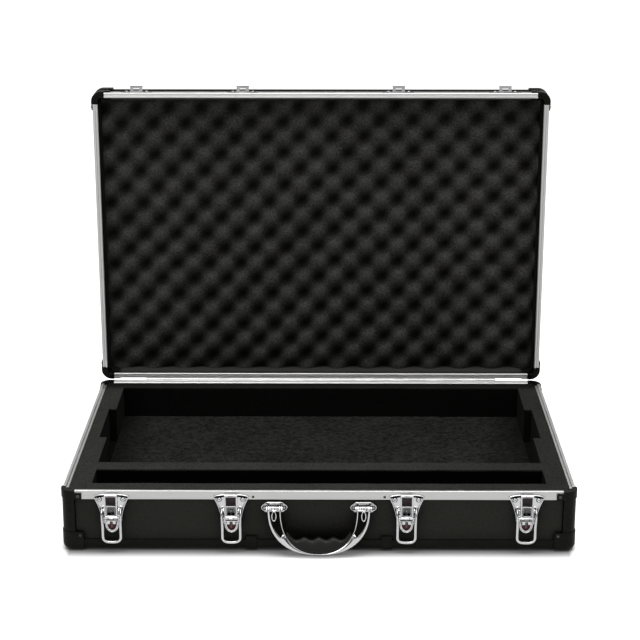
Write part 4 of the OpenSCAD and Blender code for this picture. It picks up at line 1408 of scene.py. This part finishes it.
FLOOR_CORNERS = [(-7000, -5000, -0.6), (7000, -5000, -0.6), (7000, 11000, -0.6),
                 (-7000, 11000, -0.6)]
floor = mesh_object("studio_floor", (FLOOR_CORNERS, [(0, 1, 2, 3)]), floor_material(), None)
if floor.data.polygons[0].normal.z < 0:
    floor.data.flip_normals()


# ------------------------------------------------------------------ world and lights
def build_world():
    """White to the camera, a banded sky in reflections and a soft one for all other light."""
    world = bpy.data.worlds.new("studio")
    SCENE.world = world
    g = Graph(world)
    rays = g.node("LightPath").outputs
    up = g.split(g.node("TexCoord").outputs["Generated"])["Z"]

    def sky(stops, strength):
        """A background graded from straight down (0) to straight up (1)."""
        ramp = g.node("ValToRGB", {"Fac": g.remap(up, span=(-1.0, 1.0))})
        elements = ramp.color_ramp.elements
        for position, _ in stops[1:-1]:
            elements.new(position)
        for element, (_, grey) in zip(elements, stops):
            element.color = (grey, grey, grey, 1.0)
        inputs = {"Color": ramp.outputs["Color"], "Strength": strength}
        return g.node("Background", inputs).outputs[0]

    soft = sky([(0.0, 0.2), (0.5, 0.25), (0.7, 0.6), (1.0, 1.0)], strength=0.55)
    mirror = sky([(0.0, 0.3), (0.49, 0.7), (0.5, 0.9), (0.56, 0.95), (0.58, 0.02),
                  (0.64, 0.02), (0.69, 0.6), (0.78, 1.0), (1.0, 1.0)], strength=0.9)
    white = g.node("Background", {"Color": (1.0, 1.0, 1.0), "Strength": 1.25}).outputs[0]
    seen = g.node("MixShader", {0: rays["Is Glossy Ray"], 1: soft, 2: mirror}).outputs[0]
    seen = g.node("MixShader", {0: rays["Is Camera Ray"], 1: seen, 2: white}).outputs[0]
    g.node("OutputWorld", {"Surface": seen})


def area_light(name, location, target, size, size_y, power):
    """A rectangular light aimed at target; metres and watts."""
    data = bpy.data.lights.new(name, "AREA")
    data.shape = "RECTANGLE"
    data.size = size
    data.size_y = size_y
    data.energy = power
    ob = link(bpy.data.objects.new(name, data))
    ob.location = location
    aim = Vector(target) - Vector(location)
    ob.rotation_euler = aim.to_track_quat("-Z", "Y").to_euler()


build_world()
area_light("key_overhead", location=(0.1, -0.35, 2.3), target=(0.0, 0.0, 0.1),
           size=2.4, size_y=1.3, power=38)
area_light("front_fill", location=(-0.4, -2.4, 1.3), target=(0.0, -0.1, 0.15),
           size=0.8, size_y=0.9, power=7)
area_light("side_fill", location=(2.1, -1.2, 1.3), target=(0.0, 0.0, 0.2),
           size=0.6, size_y=1.0, power=1.5)

# ------------------------------------------------------------------ camera
CAMERA_X, CAMERA_Z = 13.24, 953.47
CAMERA_Y = FACE_Y - 2082.18
CAMERA_PITCH, CAMERA_YAW = 0.30989, 0.00567  # radians, down and to the left

camera_data = bpy.data.cameras.new("camera")
camera = link(bpy.data.objects.new("camera", camera_data))
camera_data.sensor_width = 36.0
camera_data.lens = 98.0285625
camera_data.shift_y = 0.032828125
camera_data.clip_start = 0.05
camera_data.clip_end = 60.0
camera.location = (CAMERA_X * MM, CAMERA_Y * MM, CAMERA_Z * MM)
camera.rotation_euler = (math.pi / 2 - CAMERA_PITCH, 0.0, CAMERA_YAW)
SCENE.camera = camera
SCENE.view_settings.view_transform = "Standard"
SCENE.view_settings.look = "None"
SCENE.view_settings.exposure = 0.0
SCENE.view_settings.gamma = 1.0

bpy.context.view_layer.update()
